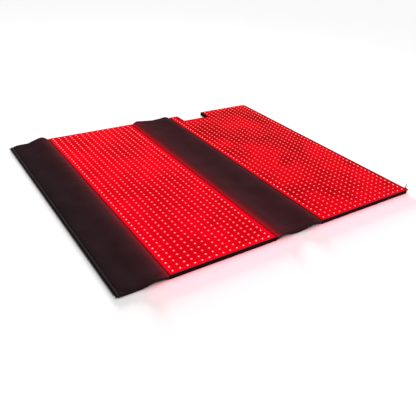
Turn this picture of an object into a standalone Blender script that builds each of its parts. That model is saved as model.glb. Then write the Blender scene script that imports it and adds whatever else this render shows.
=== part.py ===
"""Full-body red-light therapy wrap blanket, lying open and flat.

Metres, +Z up, floor at Z = 0, foot edge towards -Y, head edge towards +Y.
From left to right: left side wall, lying panel, middle side wall, cover panel with the neck cut-out.
"""

import math

import bmesh
import bpy
from mathutils import Matrix

# ---- overall sizes -------------------------------------------------------------------------------
OPEN_WIDTH = 1.830
LENGTH = 1.580
PANEL_THICKNESS = 0.022
LEFT_BAND = 0.244
BASE_WIDTH = 0.594
MIDDLE_BAND = 0.292
ZIP_REACH = 0.012

# ---- clearances ----------------------------------------------------------------------------------
FIT = 0.0003
RUNNING_FIT = 0.0004

# ---- panel build-up, from the floor to the face --------------------------------------------------
SHELL_FLOOR = 0.0015
SHELL_WALL = 0.0020
BOARD_THICKNESS = 0.0012
BOARD_MARGIN = 0.0020
FACE_THICKNESS = 0.0037
BINDING_WIDTH = 0.0060
BINDING_HEIGHT = 0.0037
BINDING_ROUND = 0.0012
CORNER_RADIUS = 0.0080
RIBBON_WIDTH = 0.024
RIBBON_THICKNESS = 0.0008
RIBBON_SETBACK = 0.060

# ---- light-emitting boards -----------------------------------------------------------------------
BOARD_COUNT = 4
BOARD_FROM_FOOT = 0.015
BOARD_FROM_HEAD = 0.005

# ---- neck cut-out in the cover -------------------------------------------------------------------
NOTCH_SETBACK = 0.076
NOTCH_WIDTH = 0.200
NOTCH_DEPTH = 0.098

# ---- side walls ----------------------------------------------------------------------------------
CLOTH_THICKNESS = 0.0010
WALL_PAD_THICKNESS = 0.0088
CREST_REACH = 0.030
SLOPE_REACH = 0.095
SLOPE_STATIONS = 6
FOLD_DROP = 0.0005
JUMPER_WIDTH = 0.030
JUMPER_THICKNESS = 0.0008
JUMPER_FROM_HEAD = 0.250
HEM_CLOTH = 0.0008
HEM_LAP = 0.016
HEM_CREASE = 0.0008

# ---- zip -----------------------------------------------------------------------------------------
COIL_WIDTH = 0.0027
COIL_HEIGHT = 0.0030
TAPE_THICKNESS = 0.0010
TAPE_LEG = 0.0110
TAPE_INSET = 0.004
PIN_LENGTH = 0.014
PIN_HEIGHT = 0.0040
STOP_LENGTH = 0.004
BOX_LENGTH = 0.011
BOX_WIDTH = 0.0070
BOX_HEIGHT = 0.0056
SLIDER_LENGTH = 0.014
SLIDER_WIDTH = 0.0100
SLIDER_HEIGHT = 0.0070
SLIDER_GAP = 0.0020
LUG_THICKNESS = 0.0015
LUG_LENGTH = 0.0050
LUG_HEIGHT = 0.0046
LUG_SPREAD = 0.0060
HINGE_PIN_RADIUS = 0.0009
HINGE_PIN_RISE = 0.0028
EYE_RADIUS = 0.0022
PULL_NECK = 0.0036
PULL_WIDTH = 0.0080
PULL_LENGTH = 0.018
PULL_THICKNESS = 0.0016

# ---- power entry ---------------------------------------------------------------------------------
INLET_FROM_LEFT = 0.120
INLET_WIDTH = 0.024
INLET_HEIGHT = 0.009
INLET_DEPTH = 0.012
INLET_FLANGE = 0.003
INLET_FLANGE_THICKNESS = 0.0012
INLET_LIP = 0.0020
INLET_RISE = 0.0030
SOCKET_WIDTH = 0.016
SOCKET_HEIGHT = 0.0050
SOCKET_DEPTH = 0.008
MODULE_WIDTH = 0.070
MODULE_DEPTH = 0.045
MODULE_HEIGHT = 0.009
CUTOUT_LENGTH = 0.020
CUTOUT_WIDTH = 0.010
CUTOUT_HEIGHT = 0.004

ROUND_STEPS = 4
PIN_SIDES = 20

# ---- places that follow from the sizes -----------------------------------------------------------
LEFT_END = -OPEN_WIDTH / 2
RIGHT_END = OPEN_WIDTH / 2
FOOT = -LENGTH / 2
HEAD = LENGTH / 2
BASE_LEFT = LEFT_END + LEFT_BAND
BASE_RIGHT = BASE_LEFT + BASE_WIDTH
COVER_LEFT = BASE_RIGHT + MIDDLE_BAND
COVER_RIGHT = RIGHT_END - ZIP_REACH
NOTCH = (COVER_LEFT + NOTCH_SETBACK, COVER_LEFT + NOTCH_SETBACK + NOTCH_WIDTH, HEAD - NOTCH_DEPTH)

BINDING_Z = PANEL_THICKNESS - BINDING_HEIGHT
WALL_TOP_Z = BINDING_Z - FIT
FACE_TOP_Z = PANEL_THICKNESS - 0.0005
FACE_Z = FACE_TOP_Z - FACE_THICKNESS
BOARD_Z = FACE_Z - FIT - BOARD_THICKNESS
FOAM_Z = SHELL_FLOOR + FIT
FOAM_TOP_Z = BOARD_Z - FIT
FOLD_Z = PANEL_THICKNESS - FOLD_DROP
WALL_LIFT = FOLD_Z - 0.0002 - WALL_PAD_THICKNESS
HEM_Z = HEM_CLOTH + FIT
HEM_LEFT = LEFT_END + ZIP_REACH
HEM_HEIGHT = WALL_PAD_THICKNESS + 2 * HEM_Z
LEFT_TAPE_Z = HEM_HEIGHT / 2
RIGHT_TAPE_Z = FOLD_Z - 0.0050
SLIDER_Y = FOOT + TAPE_INSET + BOX_LENGTH + SLIDER_GAP + SLIDER_LENGTH / 2
SLIDER_X = RIGHT_END - COIL_WIDTH / 2
HINGE_PIN_Z = RIGHT_TAPE_Z + SLIDER_HEIGHT / 2 + HINGE_PIN_RISE


def clear_scene():
    """Empties the startup scene."""
    for obj in list(bpy.data.objects):
        bpy.data.objects.remove(obj, do_unlink=True)


def new_collection(name, hidden=False):
    """A collection under the scene, kept out of renders for helpers."""
    collection = bpy.data.collections.new(name)
    collection.hide_render = hidden
    bpy.context.scene.collection.children.link(collection)
    return collection


clear_scene()
PARTS = new_collection("light_therapy_wrap")
CUTTERS = new_collection("cutters", hidden=True)


def material(name, colour, metallic=0.0, roughness=0.6):
    """A Principled material with one flat colour."""
    made = bpy.data.materials.new(name)
    made.use_nodes = True
    shader = made.node_tree.nodes["Principled BSDF"]
    shader.inputs["Base Color"].default_value = (*colour, 1.0)
    shader.inputs["Metallic"].default_value = metallic
    shader.inputs["Roughness"].default_value = roughness
    return made


def place(name, mesh, finish=None, smooth=False):
    """Links a mesh as a part when it has a finish, and as a cutter when it has none."""
    obj = bpy.data.objects.new(name, mesh)
    if finish is None:
        CUTTERS.objects.link(obj)
        obj.hide_render = True
        obj.display_type = "WIRE"
        return obj
    PARTS.objects.link(obj)
    mesh.materials.append(material(name + "_finish", *finish))
    if smooth:
        mesh.shade_smooth()
        mesh.set_sharp_from_angle(angle=math.radians(35))
    return obj


def mesh_from(work, name):
    """Turns a bmesh into a mesh with its faces looking outwards."""
    bmesh.ops.recalc_face_normals(work, faces=work.faces)
    mesh = bpy.data.meshes.new(name)
    work.to_mesh(mesh)
    work.free()
    return mesh


def box(name, x_span, y_span, z_span, finish=None):
    """A rectangular block given by its three spans."""
    work = bmesh.new()
    bmesh.ops.create_cube(work, size=1.0)
    spans = (x_span, y_span, z_span)
    size = [high - low for low, high in spans]
    middle = [(high + low) / 2 for low, high in spans]
    bmesh.ops.scale(work, vec=size, verts=work.verts)
    bmesh.ops.translate(work, vec=middle, verts=work.verts)
    return place(name, mesh_from(work, name), finish)


def rod_along_x(name, x_span, y, z, radius, finish=None):
    """A round rod that runs along X."""
    work = bmesh.new()
    bmesh.ops.create_cone(
        work,
        cap_ends=True,
        segments=PIN_SIDES,
        radius1=radius,
        radius2=radius,
        depth=x_span[1] - x_span[0],
        matrix=Matrix.Rotation(math.radians(90), 4, "Y"),
    )
    bmesh.ops.translate(work, vec=((x_span[0] + x_span[1]) / 2, y, z), verts=work.verts)
    return place(name, mesh_from(work, name), finish, smooth=True)


def rounded(corners, radius):
    """The outline with each corner turned into an arc."""
    points = []
    count = len(corners)
    for index, (x, y) in enumerate(corners):
        before = corners[index - 1]
        after = corners[(index + 1) % count]
        ins = (before[0] - x, before[1] - y)
        out = (after[0] - x, after[1] - y)
        ins_length = math.hypot(*ins)
        out_length = math.hypot(*out)
        ins = (ins[0] / ins_length, ins[1] / ins_length)
        out = (out[0] / out_length, out[1] / out_length)
        centre = (x + radius * (ins[0] + out[0]), y + radius * (ins[1] + out[1]))
        for step in range(ROUND_STEPS + 1):
            turn = math.pi / 2 * step / ROUND_STEPS
            px = centre[0] - radius * (out[0] * math.cos(turn) + ins[0] * math.sin(turn))
            py = centre[1] - radius * (out[1] * math.cos(turn) + ins[1] * math.sin(turn))
            points.append((px, py))
    return points


def outline_mesh(name, outlines, span, along_y=False):
    """A closed solid from flat outlines: in XY raised along Z, or in XZ drawn out along Y."""
    curve = bpy.data.curves.new(name + "_outline", "CURVE")
    curve.dimensions = "2D"
    curve.fill_mode = "BOTH"
    curve.extrude = (span[1] - span[0]) / 2
    for points in outlines:
        spline = curve.splines.new("POLY")
        spline.points.add(len(points) - 1)
        for point, (x, y) in zip(spline.points, points):
            point.co = (x, y, 0.0, 1.0)
        spline.use_cyclic_u = True
    guide = bpy.data.objects.new(name + "_guide", curve)
    CUTTERS.objects.link(guide)
    graph = bpy.context.evaluated_depsgraph_get()
    mesh = bpy.data.meshes.new_from_object(guide.evaluated_get(graph))
    bpy.data.objects.remove(guide, do_unlink=True)
    middle = (span[1] + span[0]) / 2
    work = bmesh.new()
    work.from_mesh(mesh)
    bpy.data.meshes.remove(mesh)
    bmesh.ops.remove_doubles(work, verts=work.verts, dist=1e-6)
    if along_y:
        bmesh.ops.rotate(
            work, cent=(0, 0, 0), matrix=Matrix.Rotation(math.radians(90), 3, "X"), verts=work.verts
        )
        bmesh.ops.translate(work, vec=(0, middle, 0), verts=work.verts)
    else:
        bmesh.ops.translate(work, vec=(0, 0, middle), verts=work.verts)
    return mesh_from(work, name)


def plate(name, outlines, z_span, finish=None, smooth=False):
    """A flat plate from outlines in XY."""
    return place(name, outline_mesh(name, outlines, z_span), finish, smooth)


def profile(name, outline, y_span, finish=None, smooth=False):
    """A long piece with one section in XZ."""
    return place(name, outline_mesh(name, [outline], y_span, along_y=True), finish, smooth)


def cut(target, cutter, operation="DIFFERENCE"):
    """Adds an exact Boolean to the target."""
    modifier = target.modifiers.new(cutter.name, "BOOLEAN")
    modifier.operation = operation
    modifier.solver = "EXACT"
    modifier.object = cutter


def soften(target, width, segments=2):
    """Rounds the sharp edges of the target."""
    modifier = target.modifiers.new("soften", "BEVEL")
    modifier.width = width
    modifier.segments = segments
    modifier.limit_method = "ANGLE"
    modifier.angle_limit = math.radians(50)


def panel_corners(left, right, inset, notch=None, foot=FOOT, head=HEAD):
    """Corners of a panel outline set in from its edge, with the neck cut-out if it has one."""
    corners = [(left + inset, foot + inset), (right - inset, foot + inset), (right - inset, head - inset)]
    if notch:
        notch_left, notch_right, notch_foot = notch
        corners.append((notch_right + inset, head - inset))
        corners.append((notch_right + inset, notch_foot - inset))
        corners.append((notch_left - inset, notch_foot - inset))
        corners.append((notch_left - inset, head - inset))
    corners.append((left + inset, head - inset))
    return corners


def panel_outline(left, right, inset, notch=None):
    """Rounded outline of a panel, set in from its edge."""
    return rounded(panel_corners(left, right, inset, notch), CORNER_RADIUS - min(inset, 0.0065))


BLACK_CLOTH = ((0.020, 0.018, 0.020), 0.0, 0.75)
BLACK_NYLON = ((0.012, 0.011, 0.012), 0.0, 0.55)
GREY_FOAM = ((0.18, 0.18, 0.19), 0.0, 0.9)
WHITE_BOARD = ((0.80, 0.79, 0.76), 0.0, 0.5)
RED_FACE = ((0.75, 0.02, 0.03), 0.0, 0.3)
CLEAR_WIRE = ((0.30, 0.05, 0.05), 0.0, 0.5)
STEEL = ((0.60, 0.60, 0.62), 1.0, 0.3)
BLACK_PLASTIC = ((0.02, 0.02, 0.02), 0.0, 0.4)


def panel_shell(name, left, right, notch=None):
    """The coated cloth tray that holds one panel."""
    shell = plate(name, [panel_outline(left, right, 0.0, notch)], (0.0, WALL_TOP_Z), BLACK_CLOTH)
    hollow = panel_outline(left, right, SHELL_WALL, notch)
    cut(shell, plate(name + "_hollow", [hollow], (SHELL_FLOOR, PANEL_THICKNESS)))
    return shell


def panel_foam(name, left, right, notch=None):
    """The insulating foam pad inside one panel."""
    outline = panel_outline(left, right, SHELL_WALL + FIT, notch)
    return plate(name, [outline], (FOAM_Z, FOAM_TOP_Z), GREY_FOAM)


def panel_ribbon(name, foam, x):
    """The supply ribbon in its groove in the foam, and the groove."""
    half = RIBBON_WIDTH / 2
    y_span = (FOOT + RIBBON_SETBACK, HEAD - NOTCH_DEPTH - RIBBON_SETBACK)
    floor = FOAM_TOP_Z - FIT - RIBBON_THICKNESS
    groove = box(
        name + "_groove",
        (x - half - FIT, x + half + FIT),
        (y_span[0] - FIT, y_span[1] + FIT),
        (floor - FIT, PANEL_THICKNESS),
    )
    cut(foam, groove)
    return box(name, (x - half, x + half), y_span, (floor, floor + RIBBON_THICKNESS), CLEAR_WIRE)


def panel_boards(prefix, left, right, notch=None):
    """The flexible boards with the lamps, laid end to end from foot to head."""
    boards = []
    start = FOOT + BOARD_FROM_FOOT
    step = (HEAD - BOARD_FROM_HEAD - start) / BOARD_COUNT
    inset = SHELL_WALL + BOARD_MARGIN
    for index in range(BOARD_COUNT):
        low = start + index * step + FIT / 2
        high = start + (index + 1) * step - FIT / 2
        corners = [(left + inset, low), (right - inset, low), (right - inset, high), (left + inset, high)]
        if notch and index == BOARD_COUNT - 1:
            notch_left, notch_right, notch_foot = notch
            slot = [
                (notch_right + inset, high),
                (notch_right + inset, notch_foot - inset),
                (notch_left - inset, notch_foot - inset),
                (notch_left - inset, high),
            ]
            corners[3:3] = slot
        name = f"{prefix}_led_board_{index + 1}"
        boards.append(plate(name, [corners], (BOARD_Z, BOARD_Z + BOARD_THICKNESS), WHITE_BOARD))
    return boards


def panel_face(name, left, right, notch=None):
    """The clear silicone face moulded over the lamps."""
    outline = panel_outline(left, right, BINDING_WIDTH + FIT, notch)
    return plate(name, [outline], (FACE_Z, FACE_TOP_Z), RED_FACE)


def panel_binding(name, left, right, notch=None):
    """The bound edge round the face."""
    outer = panel_outline(left, right, 0.0, notch)
    inner = panel_outline(left, right, BINDING_WIDTH, notch)
    ring = plate(name, [outer, inner], (BINDING_Z, PANEL_THICKNESS), BLACK_NYLON)
    soften(ring, BINDING_ROUND)
    return ring


def lift(distance, base_z):
    """Height of a side wall's underside at a distance from its seam."""
    if distance <= CREST_REACH:
        return WALL_LIFT
    share = min((distance - CREST_REACH) / (SLOPE_REACH - CREST_REACH), 1.0)
    return base_z + (WALL_LIFT - base_z) * (1 - share * share * (3 - 2 * share))


def wall_stations(left, right, seams, base_z):
    """(x, height) along a side wall's underside, with close stations on the slope beside each seam."""
    stations = {left, right}
    for seam in seams:
        direction = 1 if seam <= left + 2 * FIT else -1
        for step in range(SLOPE_STATIONS + 1):
            reach = CREST_REACH + (SLOPE_REACH - CREST_REACH) * step / SLOPE_STATIONS
            stations.add(seam + direction * reach)
    ordered = sorted(x for x in stations if left <= x <= right)
    return [(x, max(lift(abs(x - seam), base_z) for seam in seams)) for x in ordered]


def wall_layer(name, stations, low, high, y_span, finish=None):
    """One layer of a side wall between two heights above the wall's own underside."""
    outline = [(x, rise + low) for x, rise in stations]
    outline += [(x, rise + high) for x, rise in reversed(stations)]
    return profile(name, outline, y_span, finish)


def side_wall(prefix, left, right, seams, base_z):
    """Shell cloth, wadding and lining cloth of one side wall."""
    y_span = (FOOT, HEAD)
    stations = wall_stations(left, right, seams, base_z)
    top = WALL_PAD_THICKNESS
    shell = wall_layer(prefix + "_shell", stations, 0.0, CLOTH_THICKNESS, y_span, BLACK_CLOTH)
    pad_low = CLOTH_THICKNESS + FIT
    pad_high = top - CLOTH_THICKNESS - FIT
    pad_span = (FOOT + 0.002, HEAD - 0.002)
    pad = wall_layer(prefix + "_wadding", stations, pad_low, pad_high, pad_span, GREY_FOAM)
    lining = wall_layer(prefix + "_lining", stations, top - CLOTH_THICKNESS, top, y_span, BLACK_CLOTH)
    return shell, pad, lining, stations


def jumper(pad, stations):
    """The flat cable that feeds the cover's boards through the middle wall, and its recess."""
    y = HEAD - JUMPER_FROM_HEAD
    half = JUMPER_WIDTH / 2
    top = WALL_PAD_THICKNESS - CLOTH_THICKNESS - FIT
    recess_span = (y - half - FIT, y + half + FIT)
    low = top - FIT - JUMPER_THICKNESS
    inner = [(stations[0][0] - 0.002, stations[0][1]), *stations[1:-1], (stations[-1][0] + 0.002, stations[-1][1])]
    cut(pad, wall_layer("jumper_recess", inner, low - FIT, top + 0.002, recess_span))
    return wall_layer("jumper_cable", stations, low, low + JUMPER_THICKNESS, (y - half, y + half), CLEAR_WIRE)


def hem():
    """The folded binding round the outer edge of the left side wall."""
    outer = HEM_LEFT
    inner = HEM_LEFT + HEM_LAP
    cheek = HEM_CLOTH
    nose = HEM_HEIGHT * 0.28
    outline = [
        (inner, 0.0),
        (inner, cheek),
        (outer + cheek + HEM_CREASE, cheek),
        (outer + cheek, cheek + HEM_CREASE),
        (outer + cheek, HEM_HEIGHT - cheek - HEM_CREASE),
        (outer + cheek + HEM_CREASE, HEM_HEIGHT - cheek),
        (inner, HEM_HEIGHT - cheek),
        (inner, HEM_HEIGHT),
        (outer + nose * 0.5, HEM_HEIGHT),
        (outer + nose * 0.15, HEM_HEIGHT - nose * 0.4),
        (outer, HEM_HEIGHT - nose),
        (outer, nose),
        (outer + nose * 0.15, nose * 0.6 - nose * 0.2),
        (outer + nose * 0.5, 0.0),
    ]
    return profile("left_hem_binding", outline, (FOOT, HEAD), BLACK_NYLON, smooth=True)


def coil(name, left, z, y_span):
    """The chain of one half of the zip."""
    z_span = (z - COIL_HEIGHT / 2, z + COIL_HEIGHT / 2)
    made = box(name, (left, left + COIL_WIDTH), y_span, z_span, BLACK_NYLON)
    soften(made, 0.0006)
    return made


def left_zip():
    """Tape, chain, insertion pin and end stop on the left side wall."""
    z = LEFT_TAPE_Z
    y_span = (FOOT + TAPE_INSET, HEAD - TAPE_INSET)
    tape_x = (LEFT_END + COIL_WIDTH + FIT, HEM_LEFT - FIT)
    tape_z = (z - TAPE_THICKNESS / 2, z + TAPE_THICKNESS / 2)
    tape = box("left_zip_tape", tape_x, y_span, tape_z, BLACK_CLOTH)
    pin_end = y_span[0] + PIN_LENGTH
    stop_start = y_span[1] - STOP_LENGTH
    chain = coil("left_zip_coil", LEFT_END, z, (pin_end + FIT, stop_start - FIT))
    metal_x = (LEFT_END, LEFT_END + COIL_WIDTH)
    metal_z = (z - PIN_HEIGHT / 2, z + PIN_HEIGHT / 2)
    pin = box("zip_insertion_pin", metal_x, (y_span[0], pin_end), metal_z, STEEL)
    soften(pin, 0.0007)
    stop = box("left_zip_stop", metal_x, (stop_start, y_span[1]), metal_z, STEEL)
    soften(stop, 0.0006)
    return [tape, chain, pin, stop]


def right_zip():
    """Tape, chain, retainer box and end stop on the free edge of the cover."""
    z = RIGHT_TAPE_Z
    half = TAPE_THICKNESS / 2
    y_span = (FOOT + TAPE_INSET, HEAD - TAPE_INSET)
    wall = COVER_RIGHT + FIT
    reach = RIGHT_END - COIL_WIDTH - FIT
    outline = [
        (wall, z - TAPE_LEG),
        (wall + TAPE_THICKNESS, z - TAPE_LEG),
        (wall + TAPE_THICKNESS, z - half),
        (reach, z - half),
        (reach, z + half),
        (wall, z + half),
    ]
    tape = profile("right_zip_tape", outline, (y_span[0] + 0.004, y_span[1]), BLACK_CLOTH)
    box_end = y_span[0] + BOX_LENGTH
    stop_start = y_span[1] - STOP_LENGTH
    chain = coil("right_zip_coil", RIGHT_END - COIL_WIDTH, z, (box_end + FIT, stop_start - FIT))
    box_x = (RIGHT_END - BOX_WIDTH + 0.0015, RIGHT_END + 0.0015)
    box_z = (z - BOX_HEIGHT / 2, z + BOX_HEIGHT / 2)
    retainer = box("zip_retainer_box", box_x, (y_span[0], box_end), box_z, STEEL)
    pocket_x = (box_x[0] - 0.001, RIGHT_END - COIL_WIDTH)
    pocket_z = (z - half - FIT, z + half + FIT)
    cut(retainer, box("retainer_slot", pocket_x, (y_span[0] - 0.001, box_end + 0.001), pocket_z))
    stop_z = (z - PIN_HEIGHT / 2, z + PIN_HEIGHT / 2)
    stop = box("right_zip_stop", (RIGHT_END - COIL_WIDTH, RIGHT_END), (stop_start, y_span[1]), stop_z, STEEL)
    soften(stop, 0.0006)
    return [tape, chain, retainer, stop]


def zip_slider():
    """The slider that runs on the cover's chain, with the two lugs and the pin for its pull."""
    x = SLIDER_X
    y = SLIDER_Y
    z = RIGHT_TAPE_Z
    y_span = (y - SLIDER_LENGTH / 2, y + SLIDER_LENGTH / 2)
    x_span = (x - SLIDER_WIDTH / 2, x + SLIDER_WIDTH / 2)
    top = z + SLIDER_HEIGHT / 2
    body = box("zip_slider", x_span, y_span, (z - SLIDER_HEIGHT / 2, top), STEEL)
    half_x = COIL_WIDTH / 2 + RUNNING_FIT
    half_z = COIL_HEIGHT / 2 + RUNNING_FIT
    long_y = (y_span[0] - 0.002, y_span[1] + 0.002)
    cut(body, box("slider_channel", (x - half_x, x + half_x), long_y, (z - half_z, z + half_z)))
    slot = TAPE_THICKNESS / 2 + RUNNING_FIT
    cut(body, box("slider_throat", (x_span[0] - 0.002, x), long_y, (z - slot, z + slot)))
    spread = LUG_SPREAD / 2
    for side in (-1, 1):
        middle = x + side * spread
        lug_x = (middle - LUG_THICKNESS / 2, middle + LUG_THICKNESS / 2)
        lug_y = (y - LUG_LENGTH / 2, y + LUG_LENGTH / 2)
        cut(body, box(f"slider_lug_{side + 1}", lug_x, lug_y, (top - 0.0008, top + LUG_HEIGHT)), "UNION")
    rod = rod_along_x("slider_pin", (x - spread, x + spread), y, HINGE_PIN_Z, HINGE_PIN_RADIUS)
    cut(body, rod, "UNION")
    return body


def zip_pull():
    """The pull tab, with an eye round the slider's pin."""
    x = SLIDER_X
    y = SLIDER_Y
    z = HINGE_PIN_Z
    half_neck = (LUG_SPREAD - LUG_THICKNESS) / 2 - RUNNING_FIT
    half = PULL_THICKNESS / 2
    neck_z = (z + HINGE_PIN_RADIUS + RUNNING_FIT + 0.0002, z + PULL_NECK + 0.001)
    tab = box(
        "zip_pull",
        (x - PULL_WIDTH / 2, x + PULL_WIDTH / 2),
        (y - half, y + half),
        (z + PULL_NECK, z + PULL_NECK + PULL_LENGTH),
        BLACK_PLASTIC,
    )
    cut(tab, box("pull_neck", (x - half_neck, x + half_neck), (y - half, y + half), neck_z), "UNION")
    cut(tab, rod_along_x("pull_eye", (x - half_neck, x + half_neck), y, z, EYE_RADIUS), "UNION")
    hole = HINGE_PIN_RADIUS + RUNNING_FIT
    cut(tab, rod_along_x("pull_hole", (x - half_neck - 0.001, x + half_neck + 0.001), y, z, hole))
    return tab


def power_entry(shell, foam):
    """The inlet in the head wall of the lying panel, the control board behind it and the thermal cut-out."""
    x = BASE_LEFT + INLET_FROM_LEFT
    z = FOAM_Z + INLET_RISE + INLET_HEIGHT / 2
    half_x = INLET_WIDTH / 2
    half_z = INLET_HEIGHT / 2
    back = HEAD - INLET_DEPTH
    front = HEAD + FIT + INLET_FLANGE_THICKNESS / 2
    inlet = box("power_inlet", (x - half_x, x + half_x), (back, front), (z - half_z, z + half_z), BLACK_PLASTIC)
    flange = box(
        "inlet_flange",
        (x - half_x - INLET_FLANGE, x + half_x + INLET_FLANGE),
        (HEAD + FIT, HEAD + FIT + INLET_FLANGE_THICKNESS),
        (z - half_z - INLET_LIP, z + half_z + INLET_LIP),
    )
    cut(inlet, flange, "UNION")
    socket_x = (x - SOCKET_WIDTH / 2, x + SOCKET_WIDTH / 2)
    socket_z = (z - SOCKET_HEIGHT / 2, z + SOCKET_HEIGHT / 2)
    cut(inlet, box("inlet_socket", socket_x, (HEAD + 0.004 - SOCKET_DEPTH, HEAD + 0.004), socket_z))
    window_x = (x - half_x - FIT, x + half_x + FIT)
    window_z = (z - half_z - FIT, z + half_z + FIT)
    cut(shell, box("inlet_window", window_x, (HEAD - 0.006, HEAD + 0.004), window_z))
    pocket_y = (back - FIT - MODULE_DEPTH - FIT, back)
    pocket_x = (x - MODULE_WIDTH / 2 - FIT, x + MODULE_WIDTH / 2 + FIT)
    module_z = z - MODULE_HEIGHT / 2
    cut(foam, box("module_pocket", pocket_x, pocket_y, (module_z - FIT, PANEL_THICKNESS)))
    cut(foam, box("inlet_pocket", window_x, (back - 0.001, HEAD + 0.001), (window_z[0], PANEL_THICKNESS)))
    module = box(
        "control_module",
        (x - MODULE_WIDTH / 2, x + MODULE_WIDTH / 2),
        (back - FIT - MODULE_DEPTH, back - FIT),
        (module_z, module_z + MODULE_HEIGHT),
        BLACK_PLASTIC,
    )
    soften(module, 0.001)
    cut_x = (BASE_LEFT + BASE_RIGHT) / 2
    low = FOAM_TOP_Z - FIT - CUTOUT_HEIGHT
    half_w = CUTOUT_WIDTH / 2
    half_l = CUTOUT_LENGTH / 2
    nest = box(
        "cutout_nest",
        (cut_x - half_w - FIT, cut_x + half_w + FIT),
        (-half_l - FIT, half_l + FIT),
        (low - FIT, PANEL_THICKNESS),
    )
    cut(foam, nest)
    fuse = box("thermal_cutout", (cut_x - half_w, cut_x + half_w), (-half_l, half_l), (low, low + CUTOUT_HEIGHT), STEEL)
    soften(fuse, 0.0006)
    return [inlet, module, fuse]


def axis_empty(name, location, parent=None):
    """An empty on a joint axis, carrying the pieces that move with it."""
    empty = bpy.data.objects.new(name, None)
    empty.location = location
    empty.empty_display_size = 0.05
    PARTS.objects.link(empty)
    bpy.context.view_layer.update()
    if parent:
        carry(parent, [empty])
    return empty


def carry(parent, pieces):
    """Parents the pieces without moving them."""
    bpy.context.view_layer.update()
    for piece in pieces:
        piece.parent = parent
        piece.matrix_parent_inverse = parent.matrix_world.inverted()
    bpy.context.view_layer.update()


def panel(prefix, left, right, ribbon_x, notch=None):
    """All layers of one lamp panel."""
    shell = panel_shell(prefix + "_shell", left, right, notch)
    foam = panel_foam(prefix + "_foam", left, right, notch)
    ribbon = panel_ribbon(prefix + "_supply_ribbon", foam, ribbon_x)
    boards = panel_boards(prefix, left, right, notch)
    face = panel_face(prefix + "_face", left, right, notch)
    binding = panel_binding(prefix + "_binding", left, right, notch)
    return shell, foam, [ribbon, *boards, face, binding]


def build():
    """Builds every piece and hangs the moving ones on their axes."""
    base_shell, base_foam, _ = panel("base", BASE_LEFT, BASE_RIGHT, BASE_RIGHT - RIBBON_SETBACK)
    power_entry(base_shell, base_foam)
    cover_shell, cover_foam, cover_rest = panel("cover", COVER_LEFT, COVER_RIGHT, COVER_LEFT + RIBBON_SETBACK, NOTCH)

    left_inner = BASE_LEFT - FIT
    left_outer = HEM_LEFT + HEM_CLOTH + HEM_CREASE + FIT
    left_layers = side_wall("left_wall", left_outer, left_inner, [BASE_LEFT], HEM_Z)
    middle_span = (BASE_RIGHT + FIT, COVER_LEFT - FIT)
    middle_layers = side_wall("middle_wall", *middle_span, [BASE_RIGHT, COVER_LEFT], 0.0)
    cable = jumper(middle_layers[1], middle_layers[3])

    left_axis = axis_empty("left_wall_axis", (BASE_LEFT, 0.0, FOLD_Z))
    carry(left_axis, [*left_layers[:3], hem(), *left_zip()])
    middle_axis = axis_empty("middle_wall_axis", (BASE_RIGHT, 0.0, FOLD_Z))
    carry(middle_axis, [*middle_layers[:3], cable])
    cover_axis = axis_empty("cover_axis", (COVER_LEFT, 0.0, FOLD_Z), middle_axis)
    carry(cover_axis, [cover_shell, cover_foam, *cover_rest, *right_zip()])
    slider_axis = axis_empty("slider_axis", (SLIDER_X, SLIDER_Y, RIGHT_TAPE_Z), cover_axis)
    carry(slider_axis, [zip_slider()])
    pull_axis = axis_empty("pull_axis", (SLIDER_X, SLIDER_Y, HINGE_PIN_Z), slider_axis)
    carry(pull_axis, [zip_pull()])


build()
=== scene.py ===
"""Looks of the full-body lamp wrap, lying open on a pale floor.

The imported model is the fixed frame. Each soft solid in it is stood for by a piece made here, which
rides on the same body, and the small hard parts keep their own shapes and get real finishes.
Lengths are in metres where nothing else is said, and names ending in _mm are in millimetres. +X
runs across the open width, +Y towards the head and +Z up.
"""

import logging
import math
from dataclasses import dataclass, field
from enum import Enum
from typing import Callable, Sequence

import bpy
import numpy as np
from mathutils import Matrix, Vector, noise
from mathutils.bvhtree import BVHTree


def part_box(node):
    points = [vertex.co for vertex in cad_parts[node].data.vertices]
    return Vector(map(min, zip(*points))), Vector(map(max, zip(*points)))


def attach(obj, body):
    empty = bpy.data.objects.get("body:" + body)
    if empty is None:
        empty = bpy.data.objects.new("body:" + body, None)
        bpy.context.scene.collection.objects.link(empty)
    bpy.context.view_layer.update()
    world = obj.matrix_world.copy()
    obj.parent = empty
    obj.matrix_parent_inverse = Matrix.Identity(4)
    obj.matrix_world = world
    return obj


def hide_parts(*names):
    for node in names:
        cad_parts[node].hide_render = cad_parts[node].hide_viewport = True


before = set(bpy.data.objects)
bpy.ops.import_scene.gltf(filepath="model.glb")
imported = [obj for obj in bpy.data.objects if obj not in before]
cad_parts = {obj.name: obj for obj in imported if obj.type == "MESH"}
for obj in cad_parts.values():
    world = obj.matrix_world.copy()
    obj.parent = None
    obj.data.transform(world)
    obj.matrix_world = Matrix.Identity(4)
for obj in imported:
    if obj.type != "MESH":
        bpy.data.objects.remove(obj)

for leftover in ("Cube", "Camera", "Light"):
    if leftover in bpy.data.objects:
        bpy.data.objects.remove(bpy.data.objects[leftover])
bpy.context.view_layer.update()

Socket = bpy.types.NodeSocket
Tree = bpy.types.NodeTree
Material = bpy.types.Material
Piece = bpy.types.Object
Pair = tuple[float, float]
Profile = tuple[Pair, ...]
Surface = Callable[[float, float], float]

LOG = logging.getLogger("lamp_wrap")
MM = 0.001
# The neck cut-out in the cover, and the rows of lamps counted from the foot.
NOTCH_LEFT, NOTCH_RIGHT, NOTCH_START = 0.291, 0.491, 0.692
ROW_COUNT, ROW_PITCH, FIRST_ROW = 52, 0.03011, -0.7655
# Soft patches where the light under a clear sheet runs weaker, in the sheet and its lamps alike.
PATCH_MM = 294.12
# Distance between the bands of a wave texture at scale 1.
WAVE_SPACING = 0.31416
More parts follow.
